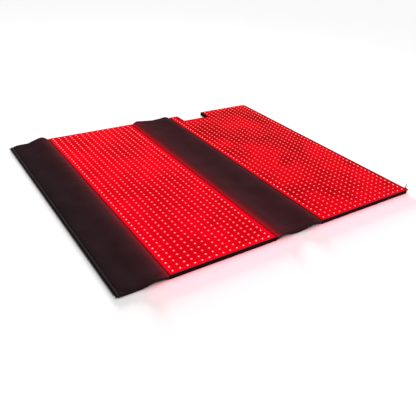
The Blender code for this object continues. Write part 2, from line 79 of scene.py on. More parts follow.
# Settings that many nodes share.
BLACK = (0, 0, 0, 1)
COLOURS = {"data_type": "RGBA"}
SMOOTH = {"interpolation_type": "SMOOTHSTEP"}


class Body(Enum):
    """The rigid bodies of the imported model."""

    BASE = "base"
    LEFT_WALL = "left_wall"
    MIDDLE_WALL = "middle_wall"
    COVER = "cover"


class Weave(Enum):
    """How the threads of a cloth cross: how much of its grain is warp."""

    PLAIN = 0.5
    RIB = 1.0


# --------------------------------------------------------------------------- shared helpers


def linear(colour: str) -> tuple[float, float, float, float]:
    """Turns an sRGB hex colour into linear light.

    Args:
        colour: Six hex digits after a hash sign.
    Returns:
        Red, green, blue and a full alpha.
    """
    parts = [int(colour[i : i + 2], 16) / 255 for i in (1, 3, 5)]
    light = [p / 12.92 if p <= 0.04045 else ((p + 0.055) / 1.055) ** 2.4 for p in parts]
    return light[0], light[1], light[2], 1.0


def clamp(value: float, low: float = 0.0) -> float:
    """Holds a value between low and 1."""
    return min(max(value, low), 1.0)


def put(
    tree: Tree, kind: str, feeds: dict | Sequence = (), out: int | str = 0, **settings: object
) -> Socket | None:
    """Adds a node with its settings and links.

    Args:
        tree: The material's or the world's node tree.
        kind: The node's type name, after ShaderNode.
        feeds: The output socket or plain value that each input takes, by name, number or order.
        out: The output that is handed on.
        settings: Attributes of the node itself.
    Returns:
        That output, or None from a node that has none.
    """
    node = tree.nodes.new(f"ShaderNode{kind}")
    for name, value in settings.items():
        setattr(node, name, value)
    for name, source in feeds.items() if isinstance(feeds, dict) else enumerate(feeds):
        if isinstance(source, Socket):
            tree.links.new(source, node.inputs[name])
        else:
            node.inputs[name].default_value = source
    return node.outputs[out] if len(node.outputs) else None


def chain(tree: Tree, kind: str, value: Socket, *steps: tuple[str, object]) -> Socket:
    """Passes a value through one operation after another.

    Args:
        tree: The material's tree.
        kind: The type name of the nodes.
        value: What goes in.
        steps: Each operation and its second operand, or None where it takes one operand only.
    Returns:
        What comes out.
    """
    for operation, other in steps:
        feeds = (value,) if other is None else (value, other)
        value = put(tree, kind, feeds, operation=operation)
    return value


def mesh_object(name: str, points: Sequence, faces: Sequence, smooth: bool = True) -> Piece:
    """Makes a mesh object at the frame's origin.

    Args:
        name: The piece's name.
        points: Its points in the frame.
        faces: Its faces as point numbers.
        smooth: Whether it is shaded smooth.
    Returns:
        The linked object.
    """
    mesh = bpy.data.meshes.new(name)
    mesh.from_pydata([tuple(map(float, p)) for p in points], [], [list(map(int, f)) for f in faces])
    mesh.validate()
    mesh.update()
    mesh.polygons.foreach_set("use_smooth", [smooth] * len(mesh.polygons))
    piece = bpy.data.objects.new(name, mesh)
    bpy.context.scene.collection.objects.link(piece)
    return piece


def finish_piece(
    piece: Piece, body: Body, material: Material, nodes: Sequence[str] = ()
) -> Piece:
    """Dresses a piece and ties it to the frame.

    Args:
        piece: The mesh object in place.
        body: The body it moves with.
        material: Its finish.
        nodes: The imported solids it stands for.
    Returns:
        The same piece.
    """
    piece.data.materials.append(material)
    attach(piece, body.value)
    if nodes:
        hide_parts(*nodes)
    LOG.info("%s: %d faces on %s", piece.name, len(piece.data.polygons), body.value)
    return piece


def wander(x: float, y: float, seed: float, scale: float) -> float:
    """A smooth random height from -1 to 1 that is the same on every run.

    Args:
        x: First coordinate.
        y: Second coordinate.
        seed: Shifts the pattern.
        scale: Length of one swell.
    Returns:
        The height.
    """
    return noise.noise(Vector((x / scale, y / scale, seed)))


def ease(table: Profile, at: float) -> float:
    """Reads a table of places and values along a smooth curve that never overshoots.

    Args:
        table: Pairs of place and value in rising order.
        at: Where to read it.
    Returns:
        The value there.
    """
    if at <= table[0][0]:
        return table[0][1]
    if at >= table[-1][0]:
        return table[-1][1]
    slopes = [(q[1] - p[1]) / (q[0] - p[0]) for p, q in zip(table, table[1:])]
    turns = [slopes[0]]
    for before, after in zip(slopes, slopes[1:]):
        turns.append(0.0 if before * after <= 0 else 2 * before * after / (before + after))
    turns.append(slopes[-1])
    k = max(i for i in range(len(slopes)) if table[i][0] <= at)
    (a, low), (b, high) = table[k], table[k + 1]
    width = b - a
    t = (at - a) / width
    return (
        (1 + 2 * t) * (1 - t) ** 2 * low
        + t * (1 - t) ** 2 * width * turns[k]
        + t * t * (3 - 2 * t) * high
        + t * t * (t - 1) * width * turns[k + 1]
    )


def cell_solid(
    name: str,
    xs: Sequence[float],
    ys: Sequence[float],
    keep: Callable[[float, float], bool],
    top: Surface,
    under: Surface,
) -> Piece:
    """Makes a closed solid from a grid of cells with a shaped top and underside.

    Args:
        name: The piece's name.
        xs: Grid lines across.
        ys: Grid lines along.
        keep: Whether the cell round a middle point is part of the piece.
        top: Height of the top at a point.
        under: Height of the underside at a point.
    Returns:
        The mesh object.
    """
    nx, ny = len(xs), len(ys)
    kept = np.zeros((nx + 1, ny + 1), bool)
    for i in range(nx - 1):
        for j in range(ny - 1):
            kept[i + 1, j + 1] = keep((xs[i] + xs[i + 1]) / 2, (ys[j] + ys[j + 1]) / 2)
    number: dict[tuple[int, int, int], int] = {}
    points: list[tuple[float, float, float]] = []

    def corner(i: int, j: int, level: int) -> int:
        """The number of a grid corner on the top (1) or the underside (0)."""
        key = (i, j, level)
        if key not in number:
            number[key] = len(points)
            points.append((xs[i], ys[j], (top if level else under)(xs[i], ys[j])))
        return number[key]

    faces = []
    for i, j in ((i, j) for i in range(nx - 1) for j in range(ny - 1) if kept[i + 1, j + 1]):
        ring = [(i, j), (i + 1, j), (i + 1, j + 1), (i, j + 1)]
        faces.append([corner(*at, 1) for at in ring])
        faces.append([corner(*at, 0) for at in reversed(ring)])
        beyond = (kept[i + 1, j], kept[i + 2, j + 1], kept[i + 1, j + 2], kept[i, j + 1])
        for side, inner in enumerate(beyond):
            if not inner:
                a, b = ring[side], ring[(side + 1) % 4]
                faces.append([corner(*a, 0), corner(*b, 0), corner(*b, 1), corner(*a, 1)])
    return mesh_object(name, points, faces)


def lines(low: float, high: float, step: float, edge: Sequence[float]) -> list[float]:
    """Grid lines from low to high, with extra lines near both ends.

    Args:
        low: First line.
        high: Last line.
        step: Largest distance between lines.
        edge: Distances of the extra lines from each end.
    Returns:
        The lines in rising order.
    """
    inner_low, inner_high = low + edge[-1], high - edge[-1]
    count = max(2, math.ceil((inner_high - inner_low) / step) + 1)
    outer = (0, *edge[:-1])
    middle = np.linspace(inner_low, inner_high, count)
    return [low + e for e in outer] + list(middle) + [high - e for e in reversed(outer)]


def skin(rings: int, around: int, ends: bool = True) -> list[list[int]]:
    """Faces that join rings of points, which are numbered ring by ring.

    Args:
        rings: How many rings there are.
        around: Points in each ring.
        ends: Whether both ends are capped. If not, the last ring joins the first.
    Returns:
        The faces.
    """
    faces = []
    for k in range(rings - ends):
        low, high = k * around, (k + 1) % rings * around
        for a in range(around):
            b = (a + 1) % around
            faces.append([low + a, low + b, high + b, high + a])
    if ends:
        faces.append(list(reversed(range(around))))
        faces.append([(rings - 1) * around + a for a in range(around)])
    return faces


def turned_shape(rings: Sequence[Pair], sides: int) -> tuple[np.ndarray, list]:
    """A closed shape turned about Z.

    Args:
        rings: Radius and height of each ring from the bottom up.
        sides: How many sides it has.
    Returns:
        Its points and faces.
    """
    angles = np.arange(sides) * 2 * math.pi / sides
    points = [(r * math.cos(a), r * math.sin(a), z) for r, z in rings for a in angles]
    return np.array(points), skin(len(rings), sides)


def moved_to(x: float, y: float, z: float) -> np.ndarray:
    """The 4x4 matrix that moves a shape to a place."""
    matrix = np.eye(4)
    matrix[:3, 3] = (x, y, z)
    return matrix


def copies(
    name: str, shape: np.ndarray, faces: Sequence, places: Sequence[np.ndarray], smooth: bool = True
) -> Piece:
    """Joins many copies of one small closed shape into one piece.

    Args:
        name: The piece's name.
        shape: Points of the shape.
        faces: Its faces.
        places: A 4x4 matrix for each copy.
        smooth: Whether it is shaded smooth.
    Returns:
        The mesh object.
    """
    points = [shape @ m[:3, :3].T + m[:3, 3] for m in places]
    joined = [[v + k * len(shape) for v in f] for k in range(len(places)) for f in faces]
    return mesh_object(name, np.concatenate(points), joined, smooth)


# --------------------------------------------------------------------------- finishes


@dataclass(frozen=True)
class Finish:
    """The finish of a real surface. Each kind says what its shader takes."""

    name: str

    def surface(self, tree: Tree, place: Socket) -> dict:
        """What the shader's inputs take, from object coordinates."""
        raise NotImplementedError

    def build(self) -> Material:
        """Makes the material."""
        material = bpy.data.materials.new(self.name)
        material.use_nodes = True
        tree = material.node_tree
        tree.nodes.clear()
        place = put(tree, "TexCoord", out="Object")
        shader = put(tree, "BsdfPrincipled", self.surface(tree, place))
        put(tree, "OutputMaterial", {"Surface": shader})
        return material


@dataclass(frozen=True)
class Seam:
    """A straight seam beside a lit panel, beside which a red glow is painted into the cloth."""

    x: float
    # Strength of the red glow painted beside this seam.
    weight: float = 1.0


@dataclass(frozen=True)
class CoatedCloth(Finish):
    """Polyester oxford cloth, woven and coated: a dull charcoal with a fine crossed grain."""

    deep: str = "#1b1315"
    pale: str = "#271b1e"
    # Threads are far finer than this, and are drawn coarse so that they show.
    thread_mm: float = 1.2
    fibre_mm: float = 1.9231
    cloud_mm: float = 111.11
    roughness: Pair = (0.72, 0.90)
    gloss: float = 0.03
    seams: tuple[Seam, ...] = ()
    weave: Weave = Weave.PLAIN
    # Whether a red glow is painted where the piece marks its points as lit.
    painted_glow_edge: bool = False
    # Colour and reach in millimetres of each layer of the painted red glow.
    painted_glow_layers: tuple[tuple[str, float], ...] = (("#960410", 8.0), ("#56060b", 26.0), ("#26080b", 120.0))

    def grain(self, tree: Tree, place: Socket) -> Socket:
        """The threads of the cloth as a height.

        Args:
            tree: The material's tree.
            place: Object coordinates.
        Returns:
            The height.
        """
        feeds = {"Vector": place, "Scale": WAVE_SPACING / (self.thread_mm * MM)}
        warp, weft = (put(tree, "TexWave", feeds, "Fac", bands_direction=way) for way in "XY")
        return put(tree, "Mix", {0: self.weave.value, 2: weft, 3: warp}, data_type="FLOAT")

    def paint_seam_glow(self, tree: Tree, place: Socket) -> Socket:
        """A painted red glow beside each lit seam, which dies away from it, on cloth that faces up.

        Args:
            tree: The material's tree.
            place: Object coordinates.
        Returns:
            The colour it adds.
        """
        across = put(tree, "SeparateXYZ", (place,), "X")
        total: Socket | None = None
        for seam in self.seams:
            away = chain(tree, "Math", across, ("SUBTRACT", seam.x), ("ABSOLUTE", None))
            for colour, reach in self.painted_glow_layers:
                fall = chain(tree, "Math", away, ("MULTIPLY", -1 / (reach * MM)), ("EXPONENT", None))
                fall = chain(tree, "Math", fall, ("MULTIPLY", seam.weight))
                part = put(tree, "Mix", {0: fall, 6: BLACK, 7: linear(colour)}, 2, **COLOURS)
                if total is not None:
                    feeds = {0: 1.0, 6: total, 7: part}
                    part = put(tree, "Mix", feeds, 2, blend_type="ADD", **COLOURS)
                total = part
        # The painted glow shows only where the cloth faces up.
        facing = put(tree, "TexCoord", out="Normal")
        facing = put(tree, "SeparateXYZ", (facing,), "Z")
        facing = put(tree, "MapRange", (facing, 0.05, 0.40))
        return put(tree, "Mix", {0: facing, 6: BLACK, 7: total}, 2, **COLOURS)

    def surface(self, tree: Tree, place: Socket) -> dict:
        """Cloudy charcoal with pale fibres, paler where it is rubbed, and its painted red glow."""
        grain = self.grain(tree, place)
        cloud, fibre = (
            put(tree, "TexNoise", {"Vector": place, "Scale": 1 / (mm * MM), "Detail": fine}, "Fac")
            for mm, fine in ((self.cloud_mm, 4.0), (self.fibre_mm, 2.0))
        )
        edge = put(tree, "NewGeometry", out="Pointiness")
        worn = put(tree, "MapRange", (edge, 0.50, 0.60, 0.0, 0.25))
        tone = put(tree, "MapRange", (cloud, 0.30, 0.70, 0.0, 0.7))
        fleck = put(tree, "Math", (fibre, 0.35, tone), operation="MULTIPLY_ADD")
        tone = put(tree, "Math", (fleck, worn), operation="ADD")
        mixed = {0: tone, 6: linear(self.deep), 7: linear(self.pale)}
        height = put(tree, "Math", (fibre, 0.5, grain), operation="MULTIPLY_ADD")
        bump = {"Strength": 0.35, "Distance": 0.25 * MM, "Height": height}
        smooth, rough = self.roughness
        feeds = {
            "Base Color": put(tree, "Mix", mixed, 2, **COLOURS),
            "Roughness": put(tree, "MapRange", {0: grain, 3: smooth, 4: rough}),
            "Normal": put(tree, "Bump", bump),
            "Specular IOR Level": self.gloss,
        }
        if self.painted_glow_edge:
            # The painted red glow on the tape, as strong as its lit mark.
            lit = put(tree, "Attribute", out="Fac", attribute_name="lit")
            glow = {0: lit, 6: BLACK, 7: linear("#f40016")}
            feeds["Emission Color"] = put(tree, "Mix", glow, 2, **COLOURS)
            feeds["Emission Strength"] = 1.0
        # A red glow painted beside the seams, in place of light from the panels.
        if self.seams:
            feeds["Emission Color"] = self.paint_seam_glow(tree, place)
            feeds["Emission Strength"] = 1.0
        return feeds


@dataclass(frozen=True)
class LampLattice(Finish):
    """A finish that follows the lattice of lamps in a panel."""

    first: Pair
    pitch: Pair
    centre: Pair
    half: Pair

    def lamp_distance(self, tree: Tree, place: Socket) -> Socket:
        """Distance on the sheet from the nearest lamp.

        Args:
            tree: The material's tree.
            place: Object coordinates.
        Returns:
            The distance in metres.
        """
        value = chain(
            tree,
            "VectorMath",
            place,
            ("SUBTRACT", (*self.first, 0.0)),
            ("DIVIDE", (*self.pitch, 1.0)),
            ("ADD", (0.5, 0.5, 0.5)),
            ("FRACTION", None),
            ("SUBTRACT", (0.5, 0.5, 0.5)),
            ("MULTIPLY", (*self.pitch, 0.0)),
        )
        return put(tree, "VectorMath", (value,), "Value", operation="LENGTH")

    def edge_distance(self, tree: Tree, place: Socket) -> Socket:
        """Distance on the sheet from the panel's nearest side.

        Args:
            tree: The material's tree.
            place: Object coordinates.
        Returns:
            The distance in metres.
        """
        steps = ("SUBTRACT", (*self.centre, 0.0)), ("ABSOLUTE", None)
        value = chain(tree, "VectorMath", place, *steps)
        value = put(tree, "VectorMath", ((*self.half, 0.0), value), operation="SUBTRACT")
        x = put(tree, "SeparateXYZ", (value,), "X")
        return put(tree, "Math", (x, x.node.outputs["Y"]), operation="MINIMUM")


@dataclass(frozen=True)
class LampFilm(LampLattice):
    """Clear silicone sheet over lit boards: a saturated red, hot by each lamp and dark between."""

    # Each seam's place, and where beside it the light starts and ends its rise, in millimetres.
    fades: tuple[tuple[float, float, float], ...]
    bright: str
    dark: str
    hot: str = "#ff5a38"
    faded: float = 0.30
    # Where the light round a lamp, along a side and close on a lamp starts and ends its fall.
    halo_mm: Pair = (4.0, 16.0)
    rim_mm: Pair = (22.0, 48.0)
    core_mm: Pair = (3.0, 7.0)
    grain_mm: float = 11.111

    def dimmed(self, tree: Tree, place: Socket) -> float | Socket:
        """Strength of the light, which dies away beside each seam where no board reaches.

        Args:
            tree: The material's tree.
            place: Object coordinates.
        Returns:
            The strength.
        """
        strength: float | Socket = 1.0
        across = put(tree, "SeparateXYZ", (place,), "X")
        for seam, near, far in self.fades:
            away = chain(tree, "Math", across, ("SUBTRACT", seam), ("ABSOLUTE", None))
            part = put(tree, "MapRange", (away, near * MM, far * MM, self.faded, 1.0), **SMOOTH)
            strength = put(tree, "Math", (strength, part), operation="MULTIPLY")
        return strength

    def surface(self, tree: Tree, place: Socket) -> dict:
        """Red light in soft patches, brighter by the lamps and the sides."""
        away, side = self.lamp_distance(tree, place), self.edge_distance(tree, place)
        halo, rim, core = (
            put(tree, "MapRange", (far, a * MM, b * MM, 1.0, 0.0), **SMOOTH)
            for far, (a, b) in ((away, self.halo_mm), (side, self.rim_mm), (away, self.core_mm))
        )
        patch, grain = (
            put(tree, "TexNoise", {"Vector": place, "Scale": 1 / (mm * MM), "Detail": fine}, "Fac")
            for mm, fine in ((PATCH_MM, 3.0), (self.grain_mm, 2.0))
        )
        patch = put(tree, "MapRange", (patch, 0.36, 0.60, 0.05, 0.85))
        grain = put(tree, "MapRange", (grain, 0.3, 0.7, -0.18, 0.18))
        level = chain(tree, "Math", halo, ("MAXIMUM", rim), ("MAXIMUM", patch))
        level = put(tree, "Math", (level, grain), operation="ADD", use_clamp=True)
        reds = {0: level, 6: linear(self.dark), 7: linear(self.bright)}
        red = put(tree, "Mix", reds, 2, **COLOURS)
        glow = put(tree, "Mix", {0: core, 6: red, 7: linear(self.hot)}, 2, **COLOURS)
        return {
            "Base Color": linear("#120002"),
            "Roughness": 0.55,
            "Specular IOR Level": 0.01,
            "IOR": 1.41,
            "Normal": put(tree, "Bump", {"Strength": 0.2, "Distance": 0.3 * MM, "Height": level}),
            "Emission Color": glow,
            "Emission Strength": self.dimmed(tree, place),
        }


@dataclass(frozen=True)
class LampLens(LampLattice):
    """Moulded epoxy lens over a lit chip: a cream white heart with a pink rim."""

    heart: str = "#fff2e2"
    rim: str = "#ff4a48"
    strength: float = 2.4
    # Share of the heart's light that is left away from the sides.
    inner: float = 0.46
    heart_mm: Pair = (1.2, 3.0)
    side_mm: Pair = (30.0, 60.0)

    def surface(self, tree: Tree, place: Socket) -> dict:
        """A lit heart, weaker in the patches and away from the sides."""
        away, side = self.lamp_distance(tree, place), self.edge_distance(tree, place)
        near, far = (v * MM for v in self.heart_mm)
        heart = put(tree, "MapRange", (away, near, far, 1.0, 0.0), **SMOOTH)
        near, far = (v * MM for v in self.side_mm)
        beside = put(tree, "MapRange", (side, near, far, 1.0, self.inner))
        pattern = {"Vector": place, "Scale": 1 / (PATCH_MM * MM), "Detail": 3.0}
        dim = put(tree, "MapRange", (put(tree, "TexNoise", pattern, "Fac"), 0.42, 0.66, 1.0, 0.35))
        heart = chain(tree, "Math", heart, ("MULTIPLY", beside), ("MULTIPLY", dim))
        colours = {0: heart, 6: linear(self.rim), 7: linear(self.heart)}
        return {
            "Base Color": linear("#3a1412"),
            "Roughness": 0.2,
            "IOR": 1.5,
            "Specular IOR Level": 0.3,
            "Emission Color": put(tree, "Mix", colours, 2, **COLOURS),
            "Emission Strength": self.strength,
        }


@dataclass(frozen=True)
class HardFinish(Finish):
    """A hard surface with fine grain, slight tone change and rubbed edges."""

    deep: str
    pale: str
    metallic: float = 0.0
    roughness: Pair = (0.3, 0.45)
    grain_mm: float = 0.6
    worn: str = "#8a8684"
    bump: float = 0.15
    gloss: float = 0.4
    cloud_mm: float = 16.667

    def surface(self, tree: Tree, place: Socket) -> dict:
        """Two close tones, rubbed paler on the edges."""
        feeds = {"Vector": place, "Scale": 1 / (self.grain_mm * MM), "Detail": 3.0}
        grain = put(tree, "TexNoise", feeds, "Fac")
        cloud = put(tree, "TexNoise", {"Vector": place, "Scale": 1 / (self.cloud_mm * MM)}, "Fac")
        edge = put(tree, "NewGeometry", out="Pointiness")
        rubbed = put(tree, "MapRange", (edge, 0.52, 0.62, 0.0, 0.8))
        colour = {0: cloud, 6: linear(self.deep), 7: linear(self.pale)}
        colour = {0: rubbed, 6: put(tree, "Mix", colour, 2, **COLOURS), 7: linear(self.worn)}
        bump = {"Strength": self.bump, "Distance": 0.1 * MM, "Height": grain}
        smooth, rough = self.roughness
        return {
            "Base Color": put(tree, "Mix", colour, 2, **COLOURS),
            "Metallic": self.metallic,
            "Specular IOR Level": self.gloss,
            "Roughness": put(tree, "MapRange", {0: grain, 3: smooth, 4: rough}),
            "Normal": put(tree, "Bump", bump),
        }


@dataclass(frozen=True)
class FloorPaint(Finish):
    """White paint, rolled on and matt: a pale ground with a mottle that barely shows."""

    mottle_mm: float = 333.33

    def surface(self, tree: Tree, place: Socket) -> dict:
        """Two whites in wide soft spots."""
        spots = put(tree, "TexNoise", {"Vector": place, "Scale": 1 / (self.mottle_mm * MM)}, "Fac")
        whites = {0: spots, 6: linear("#f4f4f4"), 7: linear("#f7f7f7")}
        tone = put(tree, "Mix", whites, 2, **COLOURS)
        return {"Base Color": tone, "Roughness": 0.9, "Specular IOR Level": 0.0}


# Nylon coil, extruded and heat set: black with a soft plastic gloss.
NYLON_COIL = HardFinish("nylon_coil_heat_set", "#0c0a0b", "#171314", roughness=(0.30, 0.42))
# Zinc alloy, die cast and nickel plated: a soft grey gleam with paler rubbed edges.
PLATED_ZINC = HardFinish(
    "zinc_alloy_die_cast_nickel_plated", "#cfcbc6", "#e6e2de", 1.0, (0.18, 0.32), 0.4, "#f2efea"
)
# Zinc alloy, die cast and coated black: dark, with grey metal where hands rub it.
BLACK_ZINC = HardFinish(
    "zinc_alloy_die_cast_black_coated", "#1a1819", "#262324", 0.6, (0.32, 0.48), 0.4, "#7d7876"
)
# Acetal puller, moulded: a smooth grey plastic.
MOULDED_ACETAL = HardFinish("acetal_injection_moulded", "#8f8a8b", "#a39e9f", 0.0, (0.38, 0.5))
# ABS case, moulded with a spark-eroded texture: dull black.
MOULDED_ABS = HardFinish(
    "abs_moulded_spark_textured", "#141213", "#1d1a1b", 0.0, (0.5, 0.65), worn="#2c292a", bump=0.4
)
# Polyurethane foam, slab cut: pale, open and powdery.
CUT_FOAM = HardFinish(
    "polyurethane_foam_slab_cut", "#b9b2a4", "#d2cbbd", 0.0, (0.9, 1.0), 1.5, bump=1.0
)
# Flexible board, white solder mask printed over polyimide: bright satin white.
PRINTED_BOARD = HardFinish("polyimide_board_white_masked", "#d9d4d0", "#ebe7e2", 0.0, (0.35, 0.5))
# Ribbon cable, PVC extruded over flat copper: satin grey.
RIBBON_CABLE = HardFinish("pvc_ribbon_extruded", "#55504f", "#6a6463", 0.0, (0.4, 0.55))
# Sewing thread, bonded polyester: matt black, sunk in the cloth.
BONDED_THREAD = HardFinish(
    "polyester_thread_bonded", "#0e0a0b", "#181214", 0.0, (0.8, 0.9), 0.3, "#181214", gloss=0.03
)


# --------------------------------------------------------------------------- sewing


@dataclass
class Stitches:
    """Runs of lockstitch, each stitch a small sunk capsule of thread."""

    pitch: float = 5.0 * MM
    length: float = 3.9 * MM
    radius: float = 0.42 * MM
    places: list = field(default_factory=list)

    def run(self, start: Vector, end: Vector, height: Surface) -> None:
        """Adds a straight run over a surface.

        Args:
            start: First point.
            end: Last point.
            height: The surface's height at a point.
        """
        total = (end - start).length
        along = (end - start) / total
        count = int(total / self.pitch)
        for k in range(count):
            a = start + along * ((k + 0.5) * total / count - self.length / 2)
            self.add(a, a + along * self.length, height)

    def add(self, start: Vector, end: Vector, height: Surface) -> None:
        """Adds one stitch on a surface.

        Args:
            start: Its first end, at any height.
            end: Its other end.
            height: The surface's height at a point.
        """
        a, b = (Vector((p.x, p.y, height(p.x, p.y))) for p in (start, end))
        forward = (b - a).normalized()
        sideways = Vector((0, 0, 1)).cross(forward)
        if sideways.length < 1e-4:
            sideways = Vector((1, 0, 0))
        sideways.normalize()
        m = moved_to(*((a + b) / 2))
        m[:3, 0], m[:3, 1], m[:3, 2] = forward, sideways, forward.cross(sideways)
        self.places.append(m)

    def build(self, name: str, body: Body, thread: Material) -> Piece:
        """Makes the piece.

        Args:
            name: The piece's name.
            body: The body it rides on.
            thread: The thread's finish.
        Returns:
            The piece.
        """
        shape = ((0.35, -1), (0.9, -0.72), (1, 0), (0.9, 0.72), (0.35, 1))
        rings = [(self.radius * wide, self.length / 2 * along) for wide, along in shape]
        points, faces = turned_shape(rings, 6)
        piece = copies(name, points[:, [2, 0, 1]], faces, self.places)
        return finish_piece(piece, body, thread)


def height_over(piece: Piece, proud: float) -> Surface:
    """The height of a piece's top at a point, for laying thread on it.

    Args:
        piece: The piece under the thread.
        proud: How far above the surface the thread's middle lies.
    Returns:
        A function of x and y.
    """
    tree = BVHTree.FromObject(piece, bpy.context.evaluated_depsgraph_get())

    def read(x: float, y: float) -> float:
        """The height at a point."""
        hit = tree.ray_cast(Vector((x, y, 0.2)), Vector((0, 0, -1)))[0]
        return (hit.z if hit is not None else 0.0) + proud

    return read


# --------------------------------------------------------------------------- panels

# Distance inwards from the panel's outline against height, both in millimetres: the cloth tray from
# its bottom over its side and down inside, and the binding tape, whose last line joins the first.
TRAY_PROFILE: Profile = (
    (6.0, 0.0), (2.6, 0.15), (0.9, 1.0), (0.25, 3.0), (0.1, 6.0), (0.05, 9.5), (0.15, 12.5),
    (0.8, 14.4), (0.9, 18.0), (2.2, 18.2), (2.4, 14.0), (2.4, 5.0), (3.6, 1.8), (7.0, 1.5),
)  # fmt: skip
EDGE_PROFILE: Profile = (
    (0.75, 13.6), (0.15, 13.9), (0.05, 15.5), (0.08, 20.3), (0.3, 21.5), (1.2, 22.2), (2.8, 22.3),
    (4.4, 22.2), (5.6, 21.95), (5.9, 21.7), (5.6, 21.45), (3.0, 21.4), (2.3, 18.4), (0.78, 18.25),
)  # fmt: skip
# The lines of a profile that lie on the panel's top, past this inset and over this height, widen
# where the tape is wide.
TOP_INSET_MM, TOP_HEIGHT_MM = 2.9, 20


@dataclass
class LampPanel:
    """A lit panel: a cloth tray, a bound edge, a clear sheet and its lamps."""

    body: Body
    columns: int
    first_margin: float
    last_margin: float
    notched: bool
    # Where the light beside a seam starts and ends its rise, in millimetres. A side with no such
    # pair is free.
    left_fade: Pair
    right_fade: Pair | None = None
    red: tuple[str, str] = ("#ff001e", "#d00012")
    # Strength of the red glow painted on the tape beside a seam.
    painted_tape_glow: float = 0.24
    corner: float = 8 * MM
    turned_up: float = 18 * MM
    # How much wider the tape is on a free side, and how it comes to that width.
    wide_tape: float = 0.9
    tape_fade: float = 10 * MM
    tape_run: float = 20 * MM
    notch_reach: float = 15 * MM
    notch_depth: float = 110 * MM
    film_inset: float = 4.5 * MM
    film_top: float = 21.3 * MM
    film_under: float = 18.6 * MM
    film_slack: float = 0.45 * MM
    lens_radius: float = 3.3 * MM
    lens_height: float = 1.3 * MM

    def __post_init__(self) -> None:
        """Reads the panel's place from its packed tray."""
        self.name = self.body.value
        low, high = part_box(f"{self.name}_shell")
        self.left, self.foot, self.right, self.head = low.x, low.y, high.x, high.y
        self.first_lamp = self.left + self.first_margin
        span = self.right - self.last_margin - self.first_lamp
        self.pitch = span / (self.columns - 1)

    def corners(self) -> list[Pair]:
        """The panel's corners, turning left all the way round."""
        found = [(self.left, self.foot), (self.right, self.foot), (self.right, self.head)]
        if self.notched:
            found += [(NOTCH_RIGHT, self.head), (NOTCH_RIGHT, NOTCH_START)]
            found += [(NOTCH_LEFT, NOTCH_START), (NOTCH_LEFT, self.head)]
        return [*found, (self.left, self.head)]

    def outline(self, inset: float, step: float = 12 * MM, arc: int = 5) -> np.ndarray:
        """The panel's rounded outline, moved inwards.

        Args:
            inset: Distance inwards from the outline.
            step: Largest distance between points on a straight side.
            arc: Points on each rounded corner.
        Returns:
            Points in order, the same number for every inset.
        """
        ring = [Vector(c) for c in self.corners()]
        following = ring[1:] + ring[:1]
        bends: list[list[Vector]] = []
        for before, here, after in zip(ring[-1:] + ring, ring, following):
            d0, d1 = (here - before).normalized(), (after - here).normalized()
            n0, n1 = Vector((-d0.y, d0.x)), Vector((-d1.y, d1.x))
            sign = 1 if d0.x * d1.y - d0.y * d1.x > 0 else -1
            centre = here + sign * self.corner * (n0 + n1)
            radius = self.corner - sign * inset
            angles = [a / (arc - 1) * math.pi / 2 for a in range(arc)]
            toward = [n0 * math.cos(t) + n1 * math.sin(t) for t in angles]
            bends.append([centre - sign * radius * v for v in toward])
        points = []
        for bend, following_bend, here, after in zip(bends, bends[1:] + bends[:1], ring, following):
            points += bend
            count = max(1, math.ceil(((after - here).length - 2 * self.corner) / step))
            points += [bend[-1].lerp(following_bend[0], s / count) for s in range(1, count)]
        return np.array([(p.x, p.y) for p in points])

    def free_side(self, x: float, y: float) -> float:
        """How far a point of the outline belongs to a side with a wide tape.

        Those are the head, the cut-out and the side that no wall is sewn to.

        Args:
            x: Place across.
            y: Place along.
        Returns:
            A share from 0 to 1.
        """
        cut_out = 0.0
        if self.notched and NOTCH_LEFT - self.notch_reach < x < NOTCH_RIGHT + self.notch_reach:
            cut_out = clamp((y - self.head + self.notch_depth) / self.tape_run)
        head = clamp(1 - (self.head - y) / self.tape_fade) * clamp((x - self.left) / self.tape_run)
        if self.right_fade:
            return max(cut_out, head * clamp((self.right - x) / self.tape_run))
        side = clamp(1 - (self.right - x) / self.tape_fade)
        return max(cut_out, head, side * clamp((y - self.foot) / self.tape_run))

    def swept(self, name: str, profile: Profile, capped: bool, sway: float, seed: float) -> Piece:
        """Sweeps a profile round the panel.

        Args:
            name: The piece's name.
            profile: Inset and height of each line of the profile, in millimetres.
            capped: Whether the first and last lines are closed, or joined to each other.
            sway: How far the cloth wanders.
            seed: Shifts the wandering.
        Returns:
            The mesh object.
        """
        points = []
        base = self.outline(0)
        for inset, z in profile:
            loose = min(1.0, z / 8)
            for (x, y), (bx, by) in zip(self.outline(inset * MM), base):
                if inset > TOP_INSET_MM:
                    widen = 1 + self.wide_tape * self.free_side(bx, by) * (z > TOP_HEIGHT_MM)
                    x, y = bx + (x - bx) * widen, by + (y - by) * widen
                drift = abs(sway * wander(bx, by, seed, 55 * MM) * loose)
                lift = 0.5 * sway * wander(bx, by, seed + 7, 38 * MM) * loose
                inward = Vector((x - bx, y - by))
                if inward.length > 1e-6:
                    inward.normalize()
                points.append((x + inward.x * drift, y + inward.y * drift, z * MM + lift))
        return mesh_object(name, points, skin(len(profile), len(base), capped))

    def inside(self, x: float, y: float, inset: float) -> bool:
        """Whether a point lies within the panel by at least that inset."""
        in_notch = self.notched and NOTCH_LEFT - inset < x < NOTCH_RIGHT + inset
        return (
            self.left + inset < x < self.right - inset
            and self.foot + inset < y < self.head - inset
            and not (in_notch and y > NOTCH_START - inset)
        )

    def make_tray(self, cloth: Material) -> None:
        """Sews the cloth tray: a flat bottom, soft lower edge and upright side."""
        piece = self.swept(f"{self.name}_cloth_tray", TRAY_PROFILE, True, 0.35 * MM, 2.0)
        finish_piece(piece, self.body, cloth, [f"{self.name}_shell"])

